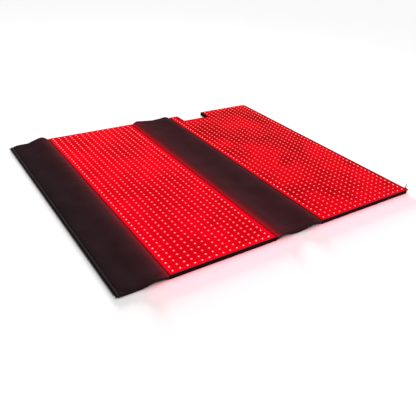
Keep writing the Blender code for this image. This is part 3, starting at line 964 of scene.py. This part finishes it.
    def make_edge(self, tape: Material) -> Piece:
        """Folds binding tape over the edge, with a red glow painted on its top at the foot and
        beside the seams.
        """
        piece = self.swept(f"{self.name}_bound_edge", EDGE_PROFILE, False, 0.25 * MM, 4.0)
        # Where the tape's painted red glow lies: on its top, fading from the foot, and beside the
        # seams.
        lit = piece.data.attributes.new("lit", "FLOAT", "POINT")
        count = len(piece.data.vertices) // len(EDGE_PROFILE)
        for k, v in enumerate(piece.data.vertices):
            inset, z = EDGE_PROFILE[k // count]
            flat, rim = clamp((z - 21.0) / 1.2), clamp((inset - 1.4) / 2.8)
            front = math.exp(-max(v.co.y - self.foot, 0.0) / (60 * MM))
            across = v.co.x - self.left
            if self.right_fade:
                across = min(across, self.right - v.co.x)
            beside = self.painted_tape_glow * clamp(across / (5 * MM), 0.4) if across < 12 * MM else 0.0
            if across < 30 * MM:
                front *= clamp(across / (14 * MM), 0.05)
            lit.data[k].value = flat * max(rim * front, beside)
        return finish_piece(piece, self.body, tape, [f"{self.name}_binding"])

    def make_film(self, finish: LampFilm) -> None:
        """Lays the clear sheet: tight over each lamp and slack between them."""
        edge = self.film_inset
        last = self.first_lamp + (self.columns - 1) * self.pitch
        thirds = [c + s / 3 for c in range(self.columns - 1) for s in range(3)]
        xs = [self.first_lamp + at * self.pitch for at in thirds]
        xs += [last, (self.left + edge + self.first_lamp) / 2, (self.right - edge + last) / 2]
        xs += [self.left + edge, self.right - edge]
        ys = [FIRST_ROW + k * ROW_PITCH / 3 for k in range((ROW_COUNT - 1) * 3 + 1)]
        ys += [self.foot + edge, self.foot + 17 * MM, self.head - edge, self.head - 12 * MM]
        if self.notched:
            xs += [NOTCH_LEFT - edge, NOTCH_RIGHT + edge]
            ys.append(NOTCH_START - edge)

        def top(x: float, y: float) -> float:
            """Height of the sheet."""
            u, v = (x - self.first_lamp) / self.pitch, (y - FIRST_ROW) / ROW_PITCH
            slack = (2 - math.cos(2 * math.pi * u) - math.cos(2 * math.pi * v)) / 4
            swell = 0.25 * MM * wander(x, y, 11.0, 0.16)
            return self.film_top - self.inside(x, y, 12 * MM) * (self.film_slack * slack - swell)

        piece = cell_solid(
            f"{self.name}_lamp_sheet",
            *(sorted({round(at, 6) for at in places}) for places in (xs, ys)),
            lambda x, y: self.inside(x, y, edge),
            top,
            lambda x, y: self.film_under,
        )
        finish_piece(piece, self.body, finish.build(), [f"{self.name}_face"])

    def make_lamps(self, finish: LampLens) -> None:
        """Sets a moulded dome lens over each lamp."""
        r, h = self.lens_radius, self.lens_height
        dome = [(r * 0.90, h * 0.45), (r * 0.62, h * 0.82), (r * 0.25, h)]
        points, faces = turned_shape([(r * 0.96, -0.5 * MM), (r, 0.1 * MM), *dome], 10)
        columns = [self.first_lamp + c * self.pitch for c in range(self.columns)]
        rows = [FIRST_ROW + r * ROW_PITCH for r in range(ROW_COUNT)]
        lamps = [(x, y) for x in columns for y in rows if self.inside(x, y, 15 * MM)]
        places = [moved_to(x, y, self.film_top) for x, y in lamps]
        piece = copies(f"{self.name}_lamp_lenses", points, faces, places)
        finish_piece(piece, self.body, finish.build())

    def make_stitches(self, edge: Piece, thread: Material) -> None:
        """Sews the binding down all the way round."""
        sewing = Stitches()
        read = height_over(edge, 0.12 * MM)
        ring = [Vector((*p, 0)) for p in self.outline(4.2 * MM, sewing.pitch, 3)]
        for a, b in zip(ring, ring[1:] + ring[:1]):
            if (b - a).length >= 3.5 * MM:
                middle, half = (a + b) / 2, (b - a).normalized() * sewing.length / 2
                sewing.add(middle - half, middle + half, read)
        sewing.build(f"{self.name}_edge_stitches", self.body, thread)

    def build(self, cloth: Material, tape: Material, thread: Material) -> None:
        """Makes and dresses the whole panel.

        Args:
            cloth: Finish of the tray.
            tape: Finish of the binding.
            thread: Finish of the stitches.
        """
        lattice = {
            "first": (self.first_lamp, FIRST_ROW),
            "pitch": (self.pitch, ROW_PITCH),
            "centre": ((self.left + self.right) / 2, (self.foot + self.head) / 2),
            "half": ((self.right - self.left) / 2, (self.head - self.foot) / 2),
        }
        sides = ((self.left, self.left_fade), (self.right, self.right_fade))
        fades = tuple((seam, *fade) for seam, fade in sides if fade)
        film, lens = f"silicone_sheet_cast_clear_{self.name}", f"epoxy_lens_moulded_{self.name}"
        self.make_tray(cloth)
        edge = self.make_edge(tape)
        self.make_film(LampFilm(film, *lattice.values(), fades, *self.red))
        self.make_lamps(LampLens(lens, *lattice.values()))
        self.make_stitches(edge, thread)


# --------------------------------------------------------------------------- side walls

# Height of a wall's top, in millimetres, against the distance from its first seam. The cloth is
# slack, so it arches more at the head than at the foot.
LEFT_FOOT_TOP: Profile = (
    (0, 21.4), (12, 21.8), (36, 25.0), (57, 26.6), (89, 23.2), (119, 15.6), (152, 10.6), (217, 9.8),
)  # fmt: skip
LEFT_HEAD_TOP: Profile = (
    (0, 21.4), (8, 24.5), (28, 38.0), (48, 41.0), (90, 29.5), (138, 17.0), (190, 16.5), (217, 11.5),
)  # fmt: skip
MIDDLE_FOOT_TOP: Profile = (
    (0, 21.4), (12, 23.5), (44, 30.5), (72, 24.5), (100, 16.8), (133, 13.6), (166, 15.4),
    (206, 22.4), (247, 26.6), (278, 22.6), (291.7, 21.4),
)  # fmt: skip
MIDDLE_HEAD_TOP: Profile = (
    (0, 21.4), (10, 29.0), (33, 38.5), (93, 33.0), (159, 27.0), (226, 31.0), (260, 34.5),
    (281, 26.5), (291.7, 21.4),
)  # fmt: skip
# How the solver treats the cloth while the pad is blown up, and for how many frames.
FILLING = {
    "quality": 5,
    "mass": 0.25,
    "tension_stiffness": 12,
    "compression_stiffness": 12,
    "shear_stiffness": 4,
    "bending_stiffness": 0.4,
    "use_pressure": True,
    "uniform_pressure_force": 4.0,
    "shrink_min": -0.025,
    "vertex_group_mass": "sewn",
}
FILLING_FRAMES = 20


@dataclass
class SideWall:
    """A padded wall between two panels, or beside one, that arches where it is sewn on."""

    body: Body
    left: float
    right: float
    seams: tuple[float, ...]
    foot_top: Profile
    head_top: Profile
    seed: float
    # In millimetres: the pad's thickness, what its foot end adds to that, how far its underside
    # drops at a seam and within what reach, and the height that the slack is measured from.
    pad_mm: float = 9.5
    nose_mm: float = 3.5
    drop_mm: Pair = (7.0, 9.0)
    low_mm: float = 11.0
    # In millimetres from a seam: where the arch stands and how wide it is.
    arch_mm: Pair = (45.0, 36.0)
    nose_reach: float = 30 * MM
    end_reach: float = 120 * MM
    slack_between: float = 0.72
    end_round: float = 3.2 * MM
    puff_cap: float = 2.4 * MM

    def __post_init__(self) -> None:
        """Reads the wall's ends from its packed cloth."""
        low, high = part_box(f"{self.body.value}_shell")
        self.foot, self.head = low.y + 0.4 * MM, high.y - 0.4 * MM

    def away(self, x: float) -> float:
        """Distance in millimetres from the nearest seam."""
        return min(abs(x - s) for s in self.seams) / MM

    def rounding(self, x: float, y: float) -> float:
        """How full the pad is near its ends and its free side, from 0 to 1."""
        room = min(y - self.foot, self.head - y) / self.end_round
        for side in (self.left, self.right):
            if min(abs(side - s) for s in self.seams) > 2 * MM:
                room = min(room, abs(x - side) / self.end_round)
        return (1 - (1 - clamp(room)) ** 3) ** (1 / 3)

    def heights(self, x: float, y: float) -> Pair:
        """Underside and top of the pad before it is filled.

        Args:
            x: Place across.
            y: Place along.
        Returns:
            Both heights in metres.
        """
        place = abs(x - self.seams[0]) / MM
        along = (y - self.foot) / (self.head - self.foot)
        turn = along * along * (3 - 2 * along)
        shape = ease(self.foot_top, place) * (1 - turn) + ease(self.head_top, place) * turn
        # Between its ends the cloth is less slack, from 3 mm off a seam and fully 30 mm further.
        between = 1 - (1 - self.slack_between) * math.sin(math.pi * along) ** 0.7
        away = self.away(x)
        if away > 3:
            tight = (1 - between) * min(1.0, (away - 3) / 30)
            shape = self.low_mm + (shape - self.low_mm) * (1 - tight)
        end = math.exp(-(min(y - self.foot, self.head - y) / self.end_reach))
        arch = math.exp(-(((away - self.arch_mm[0]) / self.arch_mm[1]) ** 2))
        ripple = 0.25 * wander(x, y, self.seed + 5, 0.055)
        swell = (0.5 + 0.7 * end) * arch * wander(x, y, self.seed + 3, 0.19)
        top = (shape + swell + ripple) * MM
        seam_drop = self.drop_mm[0] * math.exp(-away / self.drop_mm[1])
        thick = self.pad_mm + self.nose_mm * math.exp(-(y - self.foot) / self.nose_reach)
        under = max(shape + swell - thick - seam_drop, 0.2) * MM
        middle = (top + under) / 2
        half = max((top - under) / 2 * self.rounding(x, y), 0.35 * MM)
        return max(middle - half, 0.1 * MM), middle + half

    def fill(self, piece: Piece) -> None:
        """Blows the pad up a little with the cloth solver, held at its sewn edges.

        Args:
            piece: The unfilled pad, which is changed in place.
        """
        mesh, scene = piece.data, bpy.context.scene
        rest = np.array([v.co for v in mesh.vertices], float)
        held = piece.vertex_groups.new(name="sewn")
        for v in mesh.vertices:
            x, y = v.co.x, v.co.y
            if min(y - self.foot, self.head - y, x - self.left, self.right - x) < 3 * MM:
                held.add([v.index], 1.0, "REPLACE")
        cloth = piece.modifiers.new("filling", "CLOTH")
        for name, value in FILLING.items():
            setattr(cloth.settings, name, value)
        cloth.settings.effector_weights.gravity = 0.0
        cloth.point_cache.frame_start, cloth.point_cache.frame_end = 1, FILLING_FRAMES
        for number in range(1, FILLING_FRAMES + 1):
            scene.frame_set(number)
        graph = bpy.context.evaluated_depsgraph_get()
        filled = np.array([v.co for v in piece.evaluated_get(graph).data.vertices], float)
        piece.modifiers.remove(cloth)
        scene.frame_set(1)
        # The travel is held to the cap, and to a quarter of it at a seam.
        step = filled - rest
        reach = np.linalg.norm(step, axis=1, keepdims=True)
        away = np.min(np.abs(rest[:, :1] - np.array([self.seams])), axis=1, keepdims=True)
        cap = self.puff_cap * (0.25 + 0.75 * np.clip(away / (24 * MM), 0, 1))
        final = rest + step * np.minimum(1.0, cap / np.maximum(reach, 1e-9))
        final[:, 2] = np.maximum(final[:, 2], 0.1 * MM)
        mesh.vertices.foreach_set("co", final.astype(np.float32).ravel())
        mesh.update()
        piece.vertex_groups.clear()

    def make_pad(self, cloth: Material) -> Piece:
        """Cuts, sews and fills the pad."""
        edge = (0.4 * MM, 1.4 * MM, 3.2 * MM)
        piece = cell_solid(
            f"{self.body.value}_pad",
            lines(self.left, self.right, 8 * MM, edge),
            lines(self.foot, self.head, 9 * MM, edge),
            lambda x, y: True,
            lambda x, y: self.heights(x, y)[1],
            lambda x, y: self.heights(x, y)[0],
        )
        self.fill(piece)
        soften = piece.modifiers.new("soft", "SUBSURF")
        soften.levels = soften.render_levels = 1
        names = [f"{self.body.value}_{part}" for part in ("shell", "wadding", "lining")]
        finish_piece(piece, self.body, cloth, names)
        return piece

    def build(self, cloth: Material, thread: Material) -> None:
        """Makes the wall, with two rows of stitches beside each seam and one across each end.

        Args:
            cloth: Finish of the pad.
            thread: Finish of the stitches.
        """
        read = height_over(self.make_pad(cloth), 0.10 * MM)
        sewing = Stitches()
        for seam in self.seams:
            inward = 1 if abs(seam - self.left) < abs(seam - self.right) else -1
            for off in (4.0 * MM, 10.0 * MM):
                x = seam + inward * off
                ends = Vector((x, self.foot + 6 * MM, 0)), Vector((x, self.head - 6 * MM, 0))
                sewing.run(*ends, read)
        for y in (self.foot + 7 * MM, self.head - 7 * MM):
            ends = Vector((self.left + 12 * MM, y, 0)), Vector((self.right - 12 * MM, y, 0))
            sewing.run(*ends, read)
        sewing.build(f"{self.body.value}_stitches", self.body, thread)


# --------------------------------------------------------------------------- hem and zip


@dataclass
class Hem:
    """The left wall's free edge, rolled over a cord of wadding and sewn down."""

    foot: float = -0.7895
    head: float = 0.7895
    left: float = -0.9032
    right: float = -0.8918
    high: float = 11.0 * MM
    rings: int = 176
    around: int = 14
    # Power of the rounded section, and how full the last rings at each end are.
    square: float = 0.78
    closing: tuple[float, ...] = (0.72, 0.92, 1.0)

    def build(self, cloth: Material, thread: Material) -> None:
        """Makes and dresses the hem.

        Args:
            cloth: Finish of the hem.
            thread: Finish of its stitches.
        """
        middle, half = (self.left + self.right) / 2, (self.right - self.left) / 2
        last = self.rings - 1
        points = []
        for k in range(self.rings):
            y = self.foot + (self.head - self.foot) * k / last
            full = self.closing[min(k, last - k, len(self.closing) - 1)]
            for a in range(self.around):
                t = 2 * math.pi * a / self.around
                c, s = math.cos(t), math.sin(t)
                x = half * math.copysign(abs(c) ** self.square, c)
                z = self.high / 2 * math.copysign(abs(s) ** self.square, s)
                sway = 1 + 0.03 * wander(y, a / 5, 21.0, 0.05)
                # The side by the wall is pressed down under its row of stitches.
                if c > 0.1 and s > 0.0:
                    z -= 1.1 * MM * c
                lift = self.high / 2 + z * full * sway + 0.1 * MM
                points.append((middle + x * full * sway, y, lift))
        faces = [face[::-1] for face in skin(self.rings, self.around)]
        piece = mesh_object("left_wall_hem", points, faces)
        finish_piece(piece, Body.LEFT_WALL, cloth, ["left_hem_binding"])
        sewing = Stitches()
        x = self.right - 3.0 * MM
        ends = Vector((x, self.foot + 5 * MM, 0)), Vector((x, self.head - 5 * MM, 0))
        sewing.run(*ends, height_over(piece, 0.1 * MM))
        sewing.build("left_wall_hem_stitches", Body.LEFT_WALL, thread)


# Half the outline of one link of the coil, as shares of its reach and its width, from its root to
# its rounded head and back, and each level of it: height, then how far its sides and head draw in.
LINK: Profile = (
    (0.0, -0.34), (0.55, -0.34), (0.80, -0.50), (0.96, -0.34), (1.0, 0.0), (0.96, 0.34),
    (0.80, 0.50), (0.55, 0.34), (0.0, 0.34),
)  # fmt: skip
LINK_LEVELS = ((-1.4, 0.72, 0.94), (-0.98, 1, 1), (0.98, 1, 1), (1.4, 0.72, 0.94))


@dataclass
class ZipHalf:
    """One half of the edge zip: a woven tape and its coil of teeth."""

    side: str
    body: Body
    tape_path: Profile
    coil_x: Pair
    coil_z: float
    pitch: float = 2.2 * MM
    tape_half: float = 0.45 * MM
    tape_rings: int = 160

    def make_tape(self, cloth: Material) -> None:
        """Weaves the tape: a thin ribbon that follows its path in section."""
        low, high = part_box(f"{self.side}_zip_tape")
        path = [Vector(p) for p in self.tape_path]
        loop, back = [], []
        for here, before, after in zip(path, path[:1] + path, path[1:] + path[-1:]):
            run = (after - before).normalized()
            normal = Vector((-run.y, run.x))
            loop.append(here + normal * self.tape_half)
            back.append(here - normal * self.tape_half)
        loop += reversed(back)
        points = []
        for k in range(self.tape_rings):
            y = low.y + (high.y - low.y) * k / (self.tape_rings - 1)
            points += [(p.x, y, p.y + 0.10 * MM * wander(p.x, y, 31.0, 0.03)) for p in loop]
        faces = skin(self.tape_rings, len(loop))
        piece = mesh_object(f"{self.side}_tape", points, faces, smooth=False)
        finish_piece(piece, self.body, cloth, [f"{self.side}_zip_tape"])

    def make_teeth(self, nylon: Material) -> None:
        """Coils the teeth: one looped link at each pitch, with a rounded head."""
        low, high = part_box(f"{self.side}_zip_coil")
        reach = self.coil_x[1] - self.coil_x[0]
        points = [
            (along * reach * tuck, across * 0.88 * self.pitch * pinch, z * MM)
            for z, pinch, tuck in LINK_LEVELS
            for along, across in LINK
        ]
        faces = skin(len(LINK_LEVELS), len(LINK))
        if reach < 0:
            faces = [face[::-1] for face in faces]
        count = int((high.y - low.y) / self.pitch)
        rows = [low.y + (k + 0.5) * self.pitch for k in range(count)]
        places = [moved_to(self.coil_x[0], y, self.coil_z) for y in rows]
        piece = copies(f"{self.side}_teeth", np.array(points), faces, places, smooth=False)
        finish_piece(piece, self.body, nylon, [f"{self.side}_zip_coil"])

    def build(self, cloth: Material, nylon: Material) -> None:
        """Makes and dresses this half of the zip, in cloth and nylon."""
        self.make_tape(cloth)
        self.make_teeth(nylon)


@dataclass
class HardParts:
    """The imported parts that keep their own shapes."""

    bevel: float = 0.35 * MM
    sharp_degrees: float = 35.0
    bevelled: tuple[str, ...] = ("zip_slider", "zip_pull", "zip_retainer_box", "power_inlet")

    def build(self) -> None:
        """Rounds their edges and gives each its finish."""
        boards = [f"{panel}_led_board_{k}" for panel in ("base", "cover") for k in range(1, 5)]
        finishes = (
            (PLATED_ZINC, ("zip_insertion_pin", "thermal_cutout")),
            (BLACK_ZINC, ("zip_retainer_box", "left_zip_stop", "right_zip_stop", "zip_slider")),
            (MOULDED_ACETAL, ("zip_pull",)),
            (MOULDED_ABS, ("power_inlet", "control_module")),
            (CUT_FOAM, ("base_foam", "cover_foam")),
            (PRINTED_BOARD, boards),
            (RIBBON_CABLE, ("jumper_cable", "base_supply_ribbon", "cover_supply_ribbon")),
        )
        for finish, names in finishes:
            material = finish.build()
            for name in names:
                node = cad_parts[name]
                node.data.materials.clear()
                node.data.materials.append(material)
                if name in self.bevelled:
                    rounded = node.modifiers.new("rounded", "BEVEL")
                    rounded.width, rounded.segments = self.bevel, 2
                    rounded.limit_method = "ANGLE"
                    rounded.angle_limit = math.radians(self.sharp_degrees)
                    node.modifiers.new("shading", "WEIGHTED_NORMAL")
                LOG.info("%s keeps its packed shape, in %s", name, material.name)


# --------------------------------------------------------------------------- studio


@dataclass
class Studio:
    """The floor, the lights and the camera."""

    camera_at: tuple[float, float, float] = (-1.4633, -2.1469, 1.3104)
    azimuth: float = 35.402
    elevation: float = 31.185
    roll: float = 3.797
    lens_mm: float = 41.82
    floor_half: float = 40.0
    ambient: float = 0.73
    key_watts: float = 30.0
    key_size: float = 3.5
    # The low back light: its strength, its height and spread in degrees, and its drift to the left.
    back_light: float = 8.2
    back_elevation: float = 7.0
    back_spread: float = 12.0
    back_drift: float = -0.35
    spill_colour: str = "#ff3060"
    spill_watts: tuple[tuple[Body, float], ...] = ((Body.BASE, 0.50), (Body.COVER, 0.56))

    def make_floor(self) -> None:
        """Lays a pale seamless floor."""
        size = self.floor_half
        points = [(-size, -size, 0), (size, -size, 0), (size, size, 0), (-size, size, 0)]
        floor = mesh_object("studio_floor", points, [[0, 1, 2, 3]])
        floor.data.materials.append(FloorPaint("studio_floor_painted_white").build())

    def make_world(self) -> None:
        """Surrounds the set with soft white light."""
        world = bpy.data.worlds.new("studio_world")
        bpy.context.scene.world = world
        world.use_nodes = True
        tree = world.node_tree
        tree.nodes.clear()
        seen = put(tree, "LightPath", out="Is Camera Ray")
        strength = put(tree, "MapRange", {0: seen, 3: self.ambient, 4: 1.0})
        back = put(tree, "Background", {"Color": (1, 1, 1, 1), "Strength": strength})
        put(tree, "OutputWorld", {"Surface": back})

    def hang(
        self, name: str, kind: str, at: Sequence[float], ray: Vector, **settings: object
    ) -> Piece:
        """Hangs a light that neither the camera nor a gloss shows.

        Args:
            name: The light's name.
            kind: Its type.
            at: Its place.
            ray: Which way it shines.
            settings: What its data takes.
        Returns:
            The light object.
        """
        data = bpy.data.lights.new(name, kind)
        for key, value in settings.items():
            setattr(data, key, value)
        light = bpy.data.objects.new(name, data)
        light.location = at
        light.rotation_mode = "QUATERNION"
        light.rotation_quaternion = ray.to_track_quat("-Z", "Y")
        light.visible_camera = light.visible_glossy = False
        bpy.context.scene.collection.objects.link(light)
        return light

    def make_lights(self) -> None:
        """Hangs the overhead light, the low back light and the panels' spill on the floor."""
        at, side = Vector((0.4, 1.6, 3.2)), self.key_size
        area = {"shape": "RECTANGLE", "size": side, "size_y": side, "energy": self.key_watts}
        self.hang("overhead", "AREA", at, -at, **area)
        rise = math.radians(self.back_elevation)
        ray = Vector((self.back_drift * math.cos(rise), -math.cos(rise), -math.sin(rise)))
        spread = math.radians(self.back_spread)
        self.hang("back_wall", "SUN", (0, 0, 0), ray, energy=self.back_light, angle=spread)
        for body, watts in self.spill_watts:
            low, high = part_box(f"{body.value}_shell")
            at = Vector(((low.x + high.x) / 2, low.y - 30 * MM, 90 * MM))
            area |= {"size": high.x - low.x + 0.14, "size_y": 60 * MM, "energy": watts}
            area["color"] = linear(self.spill_colour)[:3]
            ray = Vector((0, -80 * MM, -at.z))
            spill = self.hang(f"{body.value}_spill", "AREA", at, ray, **area)
            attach(spill, body.value)

    def make_camera(self) -> None:
        """Stands the camera at the front left, above the wrap."""
        az, el, roll = (math.radians(v) for v in (self.azimuth, self.elevation, self.roll))
        aim = Vector((math.sin(az) * math.cos(el), math.cos(az) * math.cos(el), -math.sin(el)))
        right = Vector((math.cos(az), -math.sin(az), 0))
        up = right.cross(aim)
        across = right * math.cos(roll) + up * math.sin(roll)
        upward = up * math.cos(roll) - right * math.sin(roll)
        turn = Matrix((across, upward, -aim)).transposed().to_4x4()
        data = bpy.data.cameras.new("camera")
        data.lens, data.sensor_width = self.lens_mm, 36.0
        data.clip_start, data.clip_end = 0.05, 200.0
        camera = bpy.data.objects.new("camera", data)
        camera.matrix_world = Matrix.Translation(Vector(self.camera_at)) @ turn
        bpy.context.scene.collection.objects.link(camera)
        bpy.context.scene.camera = camera

    def build(self) -> None:
        """Sets up the studio."""
        self.make_floor()
        self.make_world()
        self.make_lights()
        self.make_camera()
        bpy.context.scene.view_settings.view_transform = "Standard"


# --------------------------------------------------------------------------- assembly

# The sections of both zip tapes, in metres across and up.
LEFT_TAPE: Profile = ((-0.9122, 0.0055), (-0.9090, 0.0055), (-0.9045, 0.0055), (-0.9005, 0.0056))
RIGHT_TAPE: Profile = (
    (0.9038, 0.0056), (0.9038, 0.0110), (0.9042, 0.0155), (0.9052, 0.0165), (0.9085, 0.0166),
    (0.9122, 0.0165),
)  # fmt: skip
# The left wall's free side, and the gap left at each seam so that a wall can fold.
LEFT_WALL_SIDE = -0.8912
SEAM_GAP = 0.1 * MM


def make_cloths(base: LampPanel, cover: LampPanel) -> dict[str, Material]:
    """Makes the finish of everything that is sewn.

    Args:
        base: The lying panel, beside which a red glow is painted on the walls.
        cover: The cover, beside which a red glow is painted on the middle wall.
    Returns:
        The materials by the piece they are for.
    """
    oxford = "polyester_oxford_coated"
    # Seams and layers of the red glow painted on the middle wall.
    seams = (Seam(base.right), Seam(cover.left, 0.45))
    painted_glow_layers = (("#aa0410", 9.0), ("#4a060b", 26.0), ("#3a090d", 150.0))
    finishes = {
        # The trays are the same cloth, with painted shade: darker because they stand in shade.
        "tray": CoatedCloth(f"{oxford}_tray", "#140c0e", "#1f1416"),
        # Ribbed binding: fine ridges, with a red glow painted where the lamps stand beside it.
        "tape": CoatedCloth(
            "polyester_binding_ribbed", "#100b0d", "#1b1416", 1.6, weave=Weave.RIB, painted_glow_edge=True
        ),
        # Pulled tight over its cord, so it has a slight sheen.
        "hem": CoatedCloth(
            f"{oxford}_hem", "#1f181b", "#2b2428", roughness=(0.5, 0.65), gloss=0.10
        ),
        # Woven closer than the other cloths, and black.
        "zip": CoatedCloth("polyester_zip_tape_woven", "#100c0d", "#1b1617", 0.9),
        # The walls' cloth, with a red glow painted beside each seam that a panel stands at.
        "left": CoatedCloth(f"{oxford}_left", seams=(Seam(base.left),)),
        "middle": CoatedCloth(f"{oxford}_middle", seams=seams, painted_glow_layers=painted_glow_layers),
    }
    return {name: finish.build() for name, finish in finishes.items()}


def main() -> None:
    """Builds the wrap and the studio."""
    logging.basicConfig(level=logging.INFO, format="%(name)s: %(message)s")
    base = LampPanel(Body.BASE, 15, 28 * MM, 41 * MM, False, (3.0, 12.0), (5.0, 19.0))
    red = ("#f4001a", "#9c000a")
    cover = LampPanel(
        Body.COVER, 17, 31 * MM, 24 * MM, True, (6.0, 12.0), red=red, painted_tape_glow=0.05
    )
    thread, cloths = BONDED_THREAD.build(), make_cloths(base, cover)
    for panel in (base, cover):
        panel.build(cloths["tray"], cloths["tape"], thread)
    left_seam = base.left - SEAM_GAP
    seams = base.right + SEAM_GAP, cover.left - SEAM_GAP
    left_tops, middle_tops = (LEFT_FOOT_TOP, LEFT_HEAD_TOP), (MIDDLE_FOOT_TOP, MIDDLE_HEAD_TOP)
    left_wall = SideWall(
        Body.LEFT_WALL, LEFT_WALL_SIDE, left_seam, (left_seam,), *left_tops, 1.0, nose_mm=5.5
    )
    left_wall.build(cloths["left"], thread)
    SideWall(Body.MIDDLE_WALL, *seams, seams, *middle_tops, 40.0).build(cloths["middle"], thread)
    Hem().build(cloths["hem"], thread)
    nylon = NYLON_COIL.build()
    left_zip = ZipHalf("left", Body.LEFT_WALL, LEFT_TAPE, (-0.9122, -0.9150), 5.5 * MM)
    right_zip = ZipHalf("right", Body.COVER, RIGHT_TAPE, (0.9122, 0.9150), 16.5 * MM)
    for half in (left_zip, right_zip):
        half.build(cloths["zip"], nylon)
    HardParts().build()
    Studio().build()


if __name__ == "__main__":
    main()
